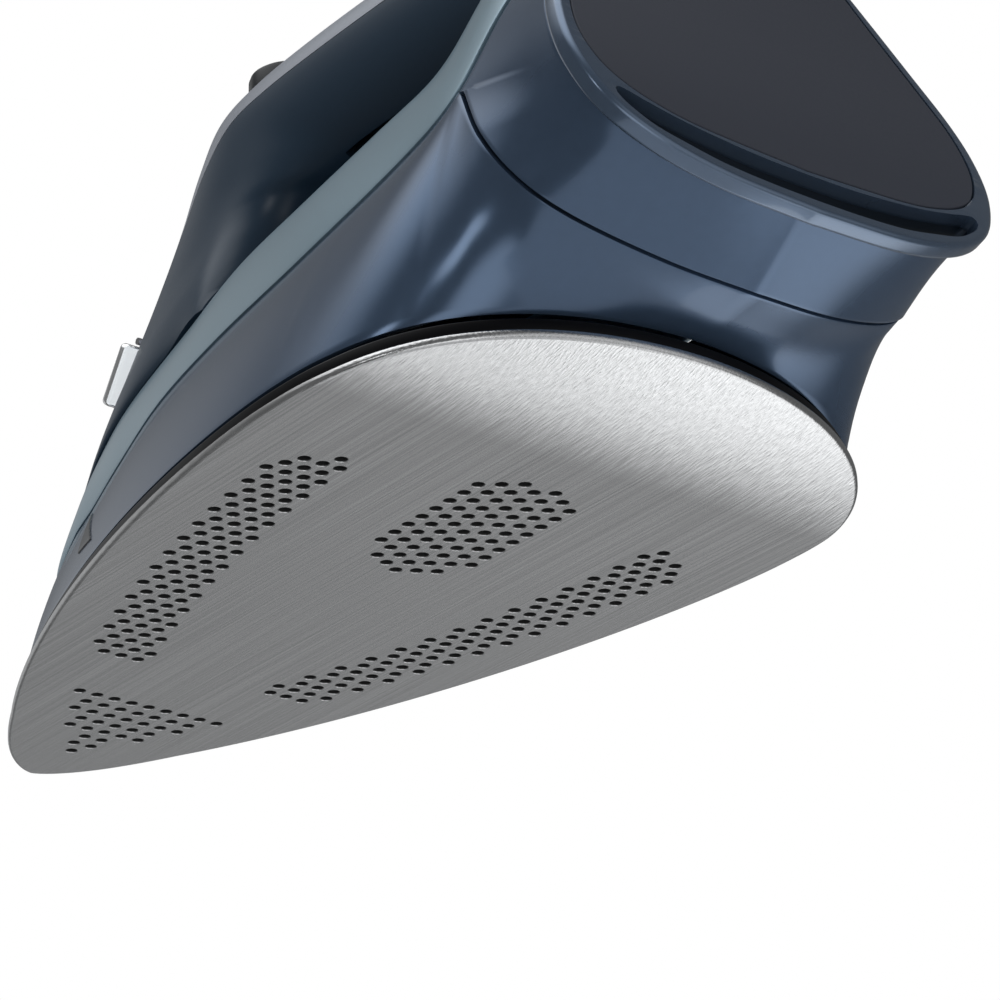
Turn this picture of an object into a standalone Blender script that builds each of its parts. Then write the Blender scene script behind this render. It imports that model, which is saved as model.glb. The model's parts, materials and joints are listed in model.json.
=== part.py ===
"""Steam clothes iron, modelled as an assembly of its real pieces.

Frame: the origin is on the flat of the sole, on the centre line, below the handle.
+X points to the tip, +Y to the iron's left, +Z up through the handle.

The pieces are drawn in millimetres for a sole 117 wide, and MM turns one drawing
millimetre into metres for the sole's real width.
"""
import math

import bmesh
import bpy
import numpy as np
from mathutils import Matrix, Vector

# ---------------------------------------------------------------- driving dimensions
SOLE_WIDTH = 0.1225
DRAWN_WIDTH = 117.0
MM = SOLE_WIDTH / DRAWN_WIDTH

TIP_X = 117.5
TIP_BLUNT = 0.9             # how much the tip is rounded beyond a plain power curve
WIDEST_X = -58.0
REAR_X = -108.0
FRONT_SHARE = 0.62          # share of the outline's run that lies ahead of the widest point
BEND_X = -72.0              # behind this the sole curls up like a sledge
BEND_RISE = 6.0
SOLE_SHEET = 1.6
GAP = 0.4                   # between pieces that meet face to face
FINE = 0.001                # object scale of a piece that is cut in millimetres

HEEL_X0 = -147.7            # heel plane: x = HEEL_X0 + HEEL_SLOPE * z
HEEL_SLOPE = 0.365
HEEL_TILT = math.atan(HEEL_SLOPE)
FRAME_THICK = 4.0
PANEL_THICK = 1.8

SKIRT_LOW = 2.1
SKIRT_HIGH = 4.6
BODY_LOW = 5.9
WALL = 2.2
COVER_THICK = 2.6

HOLE_R = 1.15
HOLE_SIDES = 4
PITCH = 4.29

DIAL_X = -44.0
BUTTON_X = 20.0
BUTTON_R = 9.0
BUTTON_TOP = 123.0
TRIGGER_X = (-39.0, -11.0)
SELECTOR_X = -12.0
GLAND_X = -84.0
VALVE_X = 4.0

COLOURS = {
    "brushed_steel": ((0.55, 0.55, 0.55), 0.32, 1.0),
    "cast_aluminium": ((0.50, 0.50, 0.49), 0.55, 1.0),
    "element_sheath": ((0.20, 0.19, 0.18), 0.50, 1.0),
    "black_shield": ((0.012, 0.012, 0.014), 0.45, 0.0),
    "body_blue": ((0.075, 0.120, 0.185), 0.16, 0.0),
    "band_blue": ((0.300, 0.420, 0.520), 0.22, 0.0),
    "handle_navy": ((0.020, 0.030, 0.052), 0.38, 0.0),
    "cover_grey": ((0.360, 0.400, 0.460), 0.35, 0.0),
    "heel_grey": ((0.056, 0.066, 0.082), 0.60, 0.0),
    "frame_blue": ((0.110, 0.160, 0.230), 0.18, 0.0),
    "button_black": ((0.010, 0.013, 0.018), 0.30, 0.0),
    "clear_plastic": ((0.800, 0.840, 0.880), 0.08, 0.0),
    "tank_plastic": ((0.500, 0.620, 0.720), 0.12, 0.0),
    "white_plastic": ((0.600, 0.600, 0.580), 0.45, 0.0),
    "silicone": ((0.420, 0.080, 0.050), 0.60, 0.0),
    "spring_steel": ((0.450, 0.450, 0.460), 0.30, 1.0),
    "brass": ((0.560, 0.420, 0.180), 0.35, 1.0),
    "lamp_amber": ((0.800, 0.320, 0.040), 0.15, 0.0),
}


# ---------------------------------------------------------------- scene and materials
for old in list(bpy.data.objects):
    bpy.data.objects.remove(old, do_unlink=True)

iron = bpy.data.collections.new("clothes_iron")
bpy.context.scene.collection.children.link(iron)
cutters = bpy.data.collections.new("cutters")
bpy.context.scene.collection.children.link(cutters)


def make_material(name):
    colour, roughness, metallic = COLOURS[name]
    material = bpy.data.materials.new(name)
    material.use_nodes = True
    shader = material.node_tree.nodes["Principled BSDF"]
    shader.inputs["Base Color"].default_value = (*colour, 1.0)
    shader.inputs["Roughness"].default_value = roughness
    shader.inputs["Metallic"].default_value = metallic
    return material


MATERIALS = {name: make_material(name) for name in COLOURS}


def add_object(name, mesh, material):
    obj = bpy.data.objects.new(name, mesh)
    iron.objects.link(obj)
    mesh.materials.clear()
    mesh.materials.append(MATERIALS[material])
    return obj


def as_cutter(obj):
    """Takes an object out of the model, so that it only cuts."""
    iron.objects.unlink(obj)
    cutters.objects.link(obj)
    obj.hide_render = True
    obj.display_type = "WIRE"
    return obj


def cut(target, *tools, solver="EXACT"):
    for tool in tools:
        modifier = target.modifiers.new("cut_" + tool.name, "BOOLEAN")
        modifier.operation = "DIFFERENCE"
        modifier.solver = solver
        modifier.object = tool


def shade(obj, degrees=35.0):
    obj.data.shade_smooth()
    obj.data.set_sharp_from_angle(angle=math.radians(degrees))
    return obj


# ---------------------------------------------------------------- curves and meshes
def along(table, t):
    """A smooth curve through rows of (t, values...), as a Catmull-Rom spline."""
    table = np.asarray(table, float)
    keys, values = table[:, 0], table[:, 1:]
    i = int(np.clip(np.searchsorted(keys, t) - 1, 0, len(keys) - 2))
    slopes = []
    for j in (i, i + 1):
        low, high = max(j - 1, 0), min(j + 1, len(keys) - 1)
        slopes.append((values[high] - values[low]) / (keys[high] - keys[low]))
    span = keys[i + 1] - keys[i]
    f = (t - keys[i]) / span
    return (
        (1 + 2 * f) * (1 - f) ** 2 * values[i]
        + f * (1 - f) ** 2 * span * slopes[0]
        + f**2 * (3 - 2 * f) * values[i + 1]
        + f**2 * (f - 1) * span * slopes[1]
    )


def weld(mesh):
    """Joins coincident points and turns every face outward."""
    work = bmesh.new()
    work.from_mesh(mesh)
    bmesh.ops.remove_doubles(work, verts=work.verts, dist=1e-6)
    bmesh.ops.recalc_face_normals(work, faces=work.faces)
    if work.calc_volume(signed=True) < 0:
        bmesh.ops.reverse_faces(work, faces=work.faces)
    work.to_mesh(mesh)
    work.free()
    return mesh


def mesh_from(name, points, faces):
    mesh = bpy.data.meshes.new(name)
    mesh.from_pydata([tuple(np.asarray(p, float) * MM) for p in points], [], faces)
    return weld(mesh)


def loft(name, rings, material, ridged=False):
    """A closed solid through rings of equal length. A ridged one starts each ring on its
    plane of symmetry, and its ends are closed from side to side."""
    count = len(rings[0])
    points = [p for ring in rings for p in ring]
    faces = []
    for i in range(len(rings) - 1):
        for j in range(count):
            k = (j + 1) % count
            faces.append((i * count + j, i * count + k, (i + 1) * count + k, (i + 1) * count + j))
    last = (len(rings) - 1) * count
    if not ridged:
        faces += [tuple(range(count))[::-1], tuple(range(last, last + count))]
    for start in (0, last) if ridged else ():
        half = count // 2
        faces += [(start, start + 1, start + count - 1), (start + half - 1, start + half, start + half + 1)]
        faces += [
            (start + j, start + j + 1, start + count - j - 1, start + count - j)
            for j in range(1, half - 1)
        ]
    return shade(add_object(name, mesh_from(name, points, faces), material))


def sheet(name, grid, material, thickness, closed=False, inward=None):
    """A shell: an open surface of rows of points, thickened away from its outer side."""
    rows, columns = len(grid), len(grid[0])
    points = [p for row in grid for p in row]
    faces = []
    for i in range(rows if closed else rows - 1):
        k = (i + 1) % rows
        for j in range(columns - 1):
            faces.append((i * columns + j, i * columns + j + 1, k * columns + j + 1, k * columns + j))
    mesh = mesh_from(name, points, faces)
    middle = Vector(inward) * MM
    facing = sum((f.center - middle).dot(f.normal) * f.area for f in mesh.polygons)
    if facing < 0:
        mesh.flip_normals()
    obj = shade(add_object(name, mesh, material))
    wall = obj.modifiers.new("wall", "SOLIDIFY")
    wall.thickness = thickness * MM
    wall.offset = -1.0
    return obj


def plate(name, outlines, low, high, material):
    """A flat piece between two heights: the first outline is the edge, the rest are holes."""
    curve = bpy.data.curves.new(name, "CURVE")
    curve.dimensions = "2D"
    curve.fill_mode = "BOTH"
    curve.extrude = (high - low) / 2 * MM
    for outline in outlines:
        spline = curve.splines.new("POLY")
        spline.points.add(len(outline) - 1)
        for point, (x, y) in zip(spline.points, outline):
            point.co = (x * MM, y * MM, 0.0, 1.0)
        spline.use_cyclic_u = True
    flat = bpy.data.objects.new(name + "_outline", curve)
    bpy.context.scene.collection.objects.link(flat)
    flat.location.z = (low + high) / 2 * MM
    bpy.context.view_layer.update()
    graph = bpy.context.evaluated_depsgraph_get()
    mesh = bpy.data.meshes.new_from_object(flat.evaluated_get(graph))
    mesh.transform(flat.matrix_world)
    bpy.data.objects.remove(flat, do_unlink=True)
    weld(mesh)
    mesh.name = name
    return add_object(name, mesh, material)


def tube(name, points, radius, material, cyclic=False, sides=1):
    """A round wire or tube through the points, converted so that it can be cut."""
    curve = bpy.data.curves.new(name, "CURVE")
    curve.dimensions = "3D"
    curve.bevel_depth = radius * MM
    curve.bevel_resolution = sides
    curve.use_fill_caps = True
    spline = curve.splines.new("POLY")
    spline.points.add(len(points) - 1)
    for target, point in zip(spline.points, points):
        target.co = (*(np.asarray(point, float) * MM), 1.0)
    spline.use_cyclic_u = cyclic
    wire = bpy.data.objects.new(name + "_path", curve)
    bpy.context.scene.collection.objects.link(wire)
    bpy.context.view_layer.update()
    graph = bpy.context.evaluated_depsgraph_get()
    mesh = bpy.data.meshes.new_from_object(wire.evaluated_get(graph))
    bpy.data.objects.remove(wire, do_unlink=True)
    weld(mesh)
    return shade(add_object(name, mesh, material), 50.0)


def place(obj, origin, direction=(0, 0, 1)):
    """Puts an object's own +Z along a direction, with its origin at a drawing point."""
    turn = Vector((0, 0, 1)).rotation_difference(Vector(direction))
    obj.matrix_world = Matrix.Translation(Vector(origin) * MM) @ turn.to_matrix().to_4x4()
    return obj


def turned(name, profile, origin, material, direction=(0, 0, 1), steps=20):
    """A turned piece: (radius, height) down its outer side, from the top of its axis."""
    mesh = bpy.data.meshes.new(name)
    closed = profile[0] == profile[-1]
    points = [(r * MM, 0.0, z * MM) for r, z in (profile[:-1] if closed else profile)]
    count = len(points)
    edges = [(i, (i + 1) % count) for i in range(count if closed else count - 1)]
    mesh.from_pydata(points, edges, [])
    obj = add_object(name, mesh, material)
    spin = obj.modifiers.new("spin", "SCREW")
    spin.steps = steps
    spin.render_steps = steps
    spin.use_merge_vertices = True
    spin.merge_threshold = 0.00001
    spin.use_smooth_shade = True
    return place(obj, origin, direction)


def rod(radius, low, high):
    """The profile of a plain round bar."""
    return [(0, high), (radius, high), (radius, low), (0, low)]


def ring_profile(outer, inner, low, high):
    """The closed profile of a ring or tube."""
    return [(inner, high), (outer, high), (outer, low), (inner, low), (inner, high)]


def block(name, size, centre, material, bevel=0.8, direction=(0, 0, 1)):
    mesh = bpy.data.meshes.new(name)
    work = bmesh.new()
    bmesh.ops.create_cube(work, size=1.0)
    bmesh.ops.scale(work, vec=Vector(size) * MM, verts=work.verts)
    work.to_mesh(mesh)
    work.free()
    obj = add_object(name, mesh, material)
    if bevel:
        edge = obj.modifiers.new("edge", "BEVEL")
        edge.width = bevel * MM
        edge.segments = 1
    return place(obj, centre, direction)


# ---------------------------------------------------------------- the sole's outline
def sole_point(u):
    """Left edge of the sole, from the tip at u = 0 to the middle of the rear at u = 1."""
    if u < FRONT_SHARE:
        turn = u / FRONT_SHARE * math.pi / 2
        x = WIDEST_X + (TIP_X - WIDEST_X) * max(math.cos(turn), 0.0) ** 1.25
        blunt = TIP_BLUNT * math.sin(math.pi * min(2 * turn, 1.0))
        return x, DRAWN_WIDTH / 2 * math.sin(turn) ** 1.44 + blunt
    turn = (1 - u) / (1 - FRONT_SHARE) * math.pi / 2
    x = WIDEST_X + (REAR_X - WIDEST_X) * max(math.cos(turn), 0.0) ** (2 / 3)
    return x, DRAWN_WIDTH / 2 * math.sin(turn)


def inset(u, depth):
    """The same edge, moved inward by a depth."""
    step = 0.004
    ahead = np.array(sole_point(min(u + step, 1.0)))
    behind = np.array(sole_point(max(u - step, 0.0)))
    if u - step < 0:
        behind = np.array(sole_point(step)) * (1, -1)
    if u + step > 1:
        ahead = np.array(sole_point(1 - step)) * (1, -1)
    run = ahead - behind
    normal = np.array([run[1], -run[0]]) / np.hypot(*run)
    return np.array(sole_point(u)) - depth * normal


def whole_outline(left):
    """A left half from nose to rear, with its mirror image, as one closed outline."""
    left = [tuple(p) for p in left]
    right = [(x, -y) for x, y in left[::-1] if abs(y) > 1e-6]
    return left + right


def rise(x):
    """How far the sole lies above its own flat at x."""
    return BEND_RISE * (max(BEND_X - x, 0.0) / (BEND_X - REAR_X)) ** 1.8


def bend_up(obj, stations=(-72, -80, -87, -93, -98, -103)):
    """Splits a flat piece across the bend into one face a strip, and lifts its rear."""
    work = bmesh.new()
    work.from_mesh(obj.data)
    for x in stations:
        geometry = work.verts[:] + work.edges[:] + work.faces[:]
        bmesh.ops.bisect_plane(
            work, geom=geometry, dist=1e-7, plane_co=(x * MM, 0, 0), plane_no=(1, 0, 0)
        )
    for front, back in zip(stations, (*stations[1:], REAR_X - 1)):
        for side in (1, -1):
            strip = [
                f for f in work.faces
                if f.normal.z * side > 0.5 and back * MM < f.calc_center_median().x < front * MM
            ]
            bmesh.ops.dissolve_faces(work, faces=strip)
    spare = [
        v for v in work.verts
        if len(v.link_edges) == 2
        and min(abs(v.co.x - x * MM) for x in stations) < 1e-7
    ]
    bmesh.ops.dissolve_verts(work, verts=spare)
    for vert in work.verts:
        vert.co.z += rise(vert.co.x / MM) * MM
    bmesh.ops.triangulate(work, faces=[f for f in work.faces if len(f.verts) > 3])
    work.to_mesh(obj.data)
    work.free()
    return obj


def samples(low, high, count):
    return np.linspace(low, high, count)


# ---------------------------------------------------------------- the steam holes
def middle_field():
    """A patch of holes round the middle of the sole."""
    spans = {0: (-4, 6), 1: (-5, 5), 2: (-5, 4), 3: (-5, 2)}
    for row in range(-3, 4):
        first, last = spans[abs(row)]
        for i in range(first, last + 1):
            yield -41.6 + PITCH * (i + 0.56 * abs(row)), 3.45 * row


def front_field():
    """A triangle of holes that narrows to the tip."""
    for row, count in enumerate((9, 7, 7, 5, 5, 2, 2, 1)):
        for i in range(count):
            yield 70.6 + 4.3 * row, 4.1 * (i - (count - 1) / 2)


def side_fields():
    """Two curved arms of holes that follow the sole's edges, seven holes across."""
    spans = {-3: (-2, 0), -2: (-4, 1), 10: (7, 12), 11: (8, 11), 12: (9, 10)}
    for row in range(-3, 13):
        first, last = spans.get(row, (row - 3, row + 3))
        for i in range(first, last + 1):
            x = -30.2 + 3.43 * row + 3.47 * i + 0.0085 * (row + i) ** 2
            y = 38.6 - 2.37 * row + 1.52 * i - 0.08 * row * i
            yield x, y
            yield x, -y


def steam_holes():
    for field in (middle_field(), front_field(), side_fields()):
        yield from field


def hole_outline(x, y, radius, sides):
    start = math.pi / sides
    turns = [start + 2 * math.pi * k / sides for k in range(sides)]
    return [(x + radius * math.cos(a), y + radius * math.sin(a)) for a in turns]


# ---------------------------------------------------------------- the body's edge curves
# Lower and upper edge of the light band, from the nose to the heel frame.
BAND_LOW = [
    (0, 99.0, 0.0, 32.4), (1, 95.0, 8.0, 32.9), (2, 80.0, 13.5, 37.3), (3, 66.0, 17.3, 38.6),
    (4, 48.0, 22.0, 41.0), (5, 24.0, 28.0, 43.2), (6, -6.0, 34.0, 43.3), (7, -42.0, 40.0, 42.6),
    (8, -76.0, 42.0, 46.8), (9, -93.0, 43.0, 51.0), (10, -103.0, 40.5, 63.5),
    (11, -109.0, 37.6, 72.0), (12, -113.2, 35.2, 79.6),
]
BAND_HIGH = [
    (0, 96.6, 0.0, 35.6), (1, 92.5, 7.6, 37.5), (2, 77.0, 12.0, 48.5), (3, 65.0, 14.8, 54.0),
    (4, 50.0, 18.0, 57.0), (5, 24.0, 22.2, 60.3), (6, -3.0, 27.6, 62.0), (7, -31.0, 31.6, 62.3),
    (8, -57.0, 33.0, 65.0), (9, -78.0, 35.0, 66.5), (10, -88.5, 33.5, 76.0),
    (11, -97.0, 30.0, 90.0), (12, -106.4, 26.2, 98.0),
]
# Seam between lower body and rear cover, from the band down to the middle of the rear.
SEAM = [
    (0.75, -95.5, 43.2, 51.8), (0.80, -104.5, 46.0, 37.5), (0.86, -111.6, 43.0, 26.3),
    (0.90, -115.0, 34.5, 20.6), (0.95, -119.3, 18.0, 15.4), (1.0, -121.0, 0.0, 13.8),
]
# Which point of the band's lower edge stands above each point of the sole's edge.
BAND_OVER_SOLE = [
    (0, 0), (0.1, 1), (0.2, 2), (0.3, 3.65), (0.4, 5.15), (0.5, 6.33), (0.62, 7.55), (0.7, 8.5),
    (0.75, 9.15),
]
# Half width of the heel against height.
HEEL_OUTLINE = [
    (0, 0.0, 21.8), (1, 20.0, 22.9), (2, 33.6, 26.4), (3, 42.6, 32.4), (4, 47.0, 41.4),
    (5, 47.4, 50.5), (6, 45.0, 59.5), (7, 39.5, 70.5), (8, 33.0, 83.0), (9, 26.0, 96.0),
    (10, 19.5, 107.0), (11, 11.5, 115.0), (12, 0.0, 118.5),
]


def body_top(u):
    """Upper edge of the lower body over the sole's point u."""
    if u <= SEAM[0][0]:
        point = along(BAND_LOW, float(along(BAND_OVER_SOLE, u)[0]))
        return point - (0, 0, 1.6 * GAP)
    return along(SEAM, u)


# How far the lower body's wall swells outward and upward half way up, along the sole's edge.
SWELL = [
    (0, 1.2, 0.0), (0.6, 1.4, 0.0), (0.72, 3.0, 0.0), (0.82, 2.2, 0.4), (0.92, 0.6, 0.6),
    (1.0, 0.0, 0.1),
]


def body_rib(u, v):
    """A point of the lower body's wall: v = 0 at the sole, 1 at its upper edge."""
    x, y = inset(u, 1.2 + min(u / 0.2, 1.0))
    low = np.array([x, y, BODY_LOW + rise(x)])
    outward = low[:2] - inset(u, 4.0)
    outward = outward / np.hypot(*outward)
    out, up = along(SWELL, u)
    wide, high = 4 * v * (1 - v), 6.75 * v * (1 - v) ** 2
    return low + (body_top(u) - low) * v + np.array([*(outward * out * wide), up * high])


def heel_x(z, depth=0.0):
    """x on the heel plane, or a depth in front of it."""
    return HEEL_X0 + HEEL_SLOPE * z + depth / math.cos(HEEL_TILT)


def heel_point(s, margin, depth):
    """A point of the heel's outline, pulled in by a margin, a depth ahead of the plane."""
    w, z = along(HEEL_OUTLINE, s)
    ahead = along(HEEL_OUTLINE, min(s + 0.05, 12))
    behind = along(HEEL_OUTLINE, max(s - 0.05, 0))
    run = ahead - behind
    length = np.hypot(*run)
    w, z = w - margin * run[1] / length, z + margin * run[0] / length
    return np.array([heel_x(z, depth), max(w, 0.0) if 0 < s < 12 else 0.0, z])


# ---------------------------------------------------------------- sole and heating group
def make_sole():
    edge = whole_outline([inset(u, 0.0) for u in samples(0, 1, 34)])
    holes = [hole_outline(x, y, HOLE_R, HOLE_SIDES) for x, y in steam_holes()]
    return bend_up(plate("sole_plate", [edge, *holes], 0.0, SOLE_SHEET, "brushed_steel"))


def inset_run(depth, least_y, rear):
    """Points of the inset left edge that are really that deep, down to a rear limit."""
    edge = np.array([sole_point(u) for u in samples(0, 1, 200)])
    points = [inset(u, depth) for u in samples(0.02, 0.64, 24)]
    return [
        p for p in points
        if np.hypot(*(edge - p).T).min() > depth - 0.1 and p[1] > least_y and p[0] > rear
    ]


def casting_outline(depth, rear):
    """The sole's outline inset by a depth and squared off behind."""
    left = inset_run(depth, 1.0, rear + 4)
    nose = (left[0][0] + 0.4 * left[0][1], 0.0)
    width = left[-1][1]
    return whole_outline([nose, *left, (rear + 4, width), (rear, width - 4), (rear, 0.0)])


CASTING_LOW, CASTING_HIGH = 1.9, 12.0
ELEMENT_R = 3.2
LID_SCREWS = ((44.0, 10.5), (44.0, -10.5), (-57.0, 22.0), (-57.0, -22.0))


def element_path():
    left = [(*p, CASTING_HIGH) for p in inset_run(14.0, 5.0, -64.0)]
    left.append((-82.0, left[-1][1], CASTING_HIGH))
    right = [(x, -y, z) for x, y, z in left]
    return left[::-1] + [(left[0][0] + 2.0, 0.0, CASTING_HIGH)] + right


def make_heating():
    casting = plate(
        "heater_casting", [casting_outline(7.0, -70.0)], CASTING_LOW, CASTING_HIGH, "cast_aluminium"
    )
    chamber = as_cutter(
        plate("chamber_pocket", [casting_outline(27.0, -50.0)], 7.0, CASTING_HIGH + 1, "brass")
    )
    plenum = as_cutter(
        plate("steam_plenum", [casting_outline(11.0, -62.0)], CASTING_LOW - 1, 4.2, "brass")
    )
    groove = as_cutter(tube("element_groove", element_path(), ELEMENT_R + 0.3, "brass"))
    cut(casting, chamber, plenum, groove)
    for i, (x, y) in enumerate(((30.3, 1.2), (-12.7, 13.1), (-20.4, -12.6))):
        duct = as_cutter(block(f"duct_{i}", (5, 5, 6), (x, y, 5.6), "brass", 0))
        cut(casting, duct)
    tube("heating_element", element_path(), ELEMENT_R, "element_sheath")
    seal = plate(
        "chamber_gasket",
        [casting_outline(20.5, -61.0), casting_outline(26.5, -51.0)],
        CASTING_HIGH + 0.3, CASTING_HIGH + 1.1, "silicone",
    )
    lid = plate(
        "chamber_lid", [casting_outline(20.5, -61.0)],
        CASTING_HIGH + 1.4, CASTING_HIGH + 2.8, "cast_aluminium",
    )
    for i, (x, y) in enumerate(LID_SCREWS):
        hole = as_cutter(
            turned(f"lid_screw_hole_{i}", rod(1.9, 7.5, 20), (x, y, 0), "brass", steps=10)
        )
        cut(casting, hole)
        cut(seal, hole)
        cut(lid, hole)
        profile = [(0, 17.2), (3.0, 17.2), (3.0, 15.1), (1.6, 15.1), (1.6, 8.0), (0, 8.0)]
        turned(f"lid_screw_{i + 1}", profile, (x, y, 0), "spring_steel", steps=10)
    inlet = as_cutter(turned("steam_inlet_hole", rod(3.3, 10, 20), (VALVE_X, 0, 0), "brass", steps=12))
    cut(lid, inlet)


def make_heat_shield():
    edge = whole_outline([inset(u, 1.3) for u in samples(0, 1, 34)])
    hole = casting_outline(6.4, -70.8)
    bend_up(plate("heat_shield", [edge, hole], SKIRT_LOW, SKIRT_HIGH, "black_shield"))


# ---------------------------------------------------------------- body shells
def make_lower_body():
    left = [[body_rib(u, v) for v in samples(0, 1, 4)] for u in samples(0, 1, 29)]
    right = [[p * (1, -1, 1) for p in row] for row in left[-2:0:-1]]
    sheet("lower_body", left + right, "body_blue", WALL, closed=True, inward=(-10, 0, 25))


def rear_rib(s, v):
    """A point of the rear cover: s runs up from the middle of the rear, v back to the heel."""
    if s < 0.55:
        front = along(SEAM, 1 - s / 0.55 * 0.25) + (-2.6 * GAP, 0, 0)
    else:
        step = 9.1 + (s - 0.55) / 0.45 * 2.35
        front = along(BAND_LOW, step) + (-2.6 * GAP, 0, -GAP)
    back = heel_point(s * 7.45, 1.2, FRAME_THICK + GAP)
    return front + (back - front) * v


def make_rear_cover():
    steps = samples(0, 1, 19)
    left = [[rear_rib(s, v) for v in samples(0, 1, 4)] for s in steps[::-1]]
    right = [[p * (1, -1, 1) for p in row] for row in left[-2::-1]]
    sheet("rear_cover", left + right, "body_blue", WALL, inward=(-60, 0, 60))


def band_rib(s, v):
    low, high = along(BAND_LOW, s), along(BAND_HIGH, s) - (0, 0, 0.5)
    point = low + (high - low) * v
    return point + np.array([0.0, 1.0 if s > 0.5 else 0.0, 0.0]) * 1.0 * 4 * v * (1 - v)


def make_side_band():
    left = [[band_rib(s, v) for v in (0.0, 0.5, 1.0)] for s in samples(12, 0, 31)]
    right = [[p * (1, -1, 1) for p in row] for row in left[-2::-1]]
    sheet("side_band", left + right, "band_blue", 1.8, inward=(-10, 0, 45))


DECK_EDGE = [
    (0, 12.6, 21.6, 60.4), (1, -3.0, 25.0, 61.3), (2, -31.0, 29.0, 61.6), (3, -57.0, 30.4, 64.2),
    (4, -77.0, 32.0, 66.0), (5, -84.4, 31.0, 72.8), (6, -88.0, 29.8, 79.0), (7, -90.0, 28.8, 83.6),
]
DECK_MIDDLE = [
    (0, 12.6, 0.0, 58.5), (1, -3.0, 0.0, 57.0), (2, -31.0, 0.0, 56.5), (3, -57.0, 0.0, 57.0),
    (4, -72.0, 0.0, 59.5), (5, -80.0, 0.0, 67.0), (6, -83.0, 0.0, 76.0), (7, -84.5, 0.0, 83.8),
]


def deck_point(t, across):
    edge, middle = along(DECK_EDGE, t), along(DECK_MIDDLE, t)
    share = across * across
    point = middle + (edge - middle) * share
    point[1] = edge[1] * across
    return point


def make_deck():
    grid = [[deck_point(t, a) for a in samples(1, -1, 9)] for t in samples(0, 7, 15)]
    deck = sheet("deck_cover", grid, "handle_navy", WALL, inward=(-40, 0, 20))
    cut(deck, as_cutter(turned("dial_well", rod(4.2, 40, 70), (DIAL_X, 0, 0), "brass", steps=16)))
    return deck


# ---------------------------------------------------------------- the handle
# Each ring: t, outer x, outer z, inner x, inner z, half width, widest at, front and rear power,
# bow of the ring, share of the ring under the top cover.
HANDLE_RINGS = [
    (0, 96.0, 36.9, 14.2, 61.2, 23.0, 0.93, 1.35, 6.0, 7.5, 0.10),
    (1, 84.5, 51.0, 10.0, 72.0, 20.5, 0.85, 1.5, 3.0, 5.0, 0.12),
    (2, 74.5, 66.0, 5.0, 80.5, 18.0, 0.75, 1.7, 2.4, 3.0, 0.14),
    (3, 64.0, 80.5, -1.0, 85.5, 16.5, 0.65, 1.9, 2.2, 1.5, 0.17),
    (4, 54.0, 96.0, -7.0, 87.3, 15.6, 0.60, 2.1, 2.2, 0.0, 0.20),
    (5, 46.0, 108.5, -12.0, 88.0, 15.2, 0.55, 2.3, 2.2, 0.0, 0.25),
    (6, 37.0, 117.5, -17.0, 88.0, 15.0, 0.50, 2.4, 2.2, 0.0, 0.30),
    (7, 22.0, 121.0, -23.0, 88.0, 15.0, 0.48, 2.4, 2.2, 0.0, 0.33),
    (8, 0.0, 122.0, -31.0, 88.0, 15.0, 0.46, 2.4, 2.2, 0.0, 0.34),
    (9, -24.0, 122.0, -41.0, 88.0, 15.0, 0.46, 2.4, 2.2, 0.0, 0.34),
    (10, -46.0, 121.5, -52.0, 88.0, 15.0, 0.46, 2.4, 2.2, 0.0, 0.34),
    (11, -66.0, 120.5, -64.0, 87.6, 15.2, 0.48, 2.4, 2.2, 0.0, 0.34),
    (12, -80.0, 119.8, -76.5, 86.8, 17.0, 0.58, 2.2, 2.6, 0.0, 0.34),
    (13, -87.0, 119.2, -85.0, 86.0, 22.0, 0.75, 1.7, 4.0, 0.0, 0.34),
    (14, -93.0, 118.6, -93.5, 86.0, 29.0, 0.88, 1.35, 6.0, 0.0, 0.32),
    (15, -99.9, 116.8, -107.4, 95.4, 25.0, 0.90, 1.6, 6.0, 0.0, 0.34),
]


BAND_TOP = np.array([along(BAND_HIGH, s) for s in np.linspace(5.5, 0, 56)])


def ring_point(t, a, side):
    """A point of the handle's skin: a = 0 on the outer ridge, 1 on the inner one."""
    ox, oz, ix, iz, width, widest, front, rear, bow, _ = along(HANDLE_RINGS, t)
    run = np.array([ix - ox, iz - oz])
    length = np.hypot(*run)
    across = np.array([-run[1], run[0]]) / length
    if a < widest:
        share = 1 - ((widest - a) / widest) ** front
    else:
        share = 1 - ((a - widest) / (1 - widest)) ** rear
    w = width * math.sqrt(max(share, 0.0))
    lift = bow * (4 * max(a * (1 - a), 0.0)) ** 0.7
    x, z = np.array([ox, oz]) + run * a - across * lift
    if t < 1:
        low_w, low_z = ring_point_on_band(x)
        share = (1 - t) ** 2 * min((1 - a) / 0.2, 1.0)
        w += (low_w - w) * share
        z += (low_z - z) * share
    return np.array([x, side * w, z])


def ring_point_on_band(x):
    """Where the handle's skin meets the band's upper edge: across, and height."""
    w = np.interp(x, BAND_TOP[:, 0], BAND_TOP[:, 1])
    z = np.interp(x, BAND_TOP[:, 0], BAND_TOP[:, 2])
    return w - 0.15, z + 0.2


def sunk_point(t, a, depth):
    """A point of the left skin, moved inward along the skin's normal."""
    point = ring_point(t, a, 1)
    last = HANDLE_RINGS[-1][0]
    run = ring_point(min(t + 0.05, last), a, 1) - ring_point(max(t - 0.05, 0), a, 1)
    round_ring = ring_point(t, a + 0.004, 1) - ring_point(t, max(a - 0.004, 0.0), 1)
    if a < 0.001:
        round_ring = np.array([0.0, 1.0, 0.0])
    normal = np.cross(run, round_ring)
    normal = normal / np.linalg.norm(normal)
    if normal @ (point - ring_point(t, 0.45, 0)) < 0:
        normal = -normal
    return point - normal * depth


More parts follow.
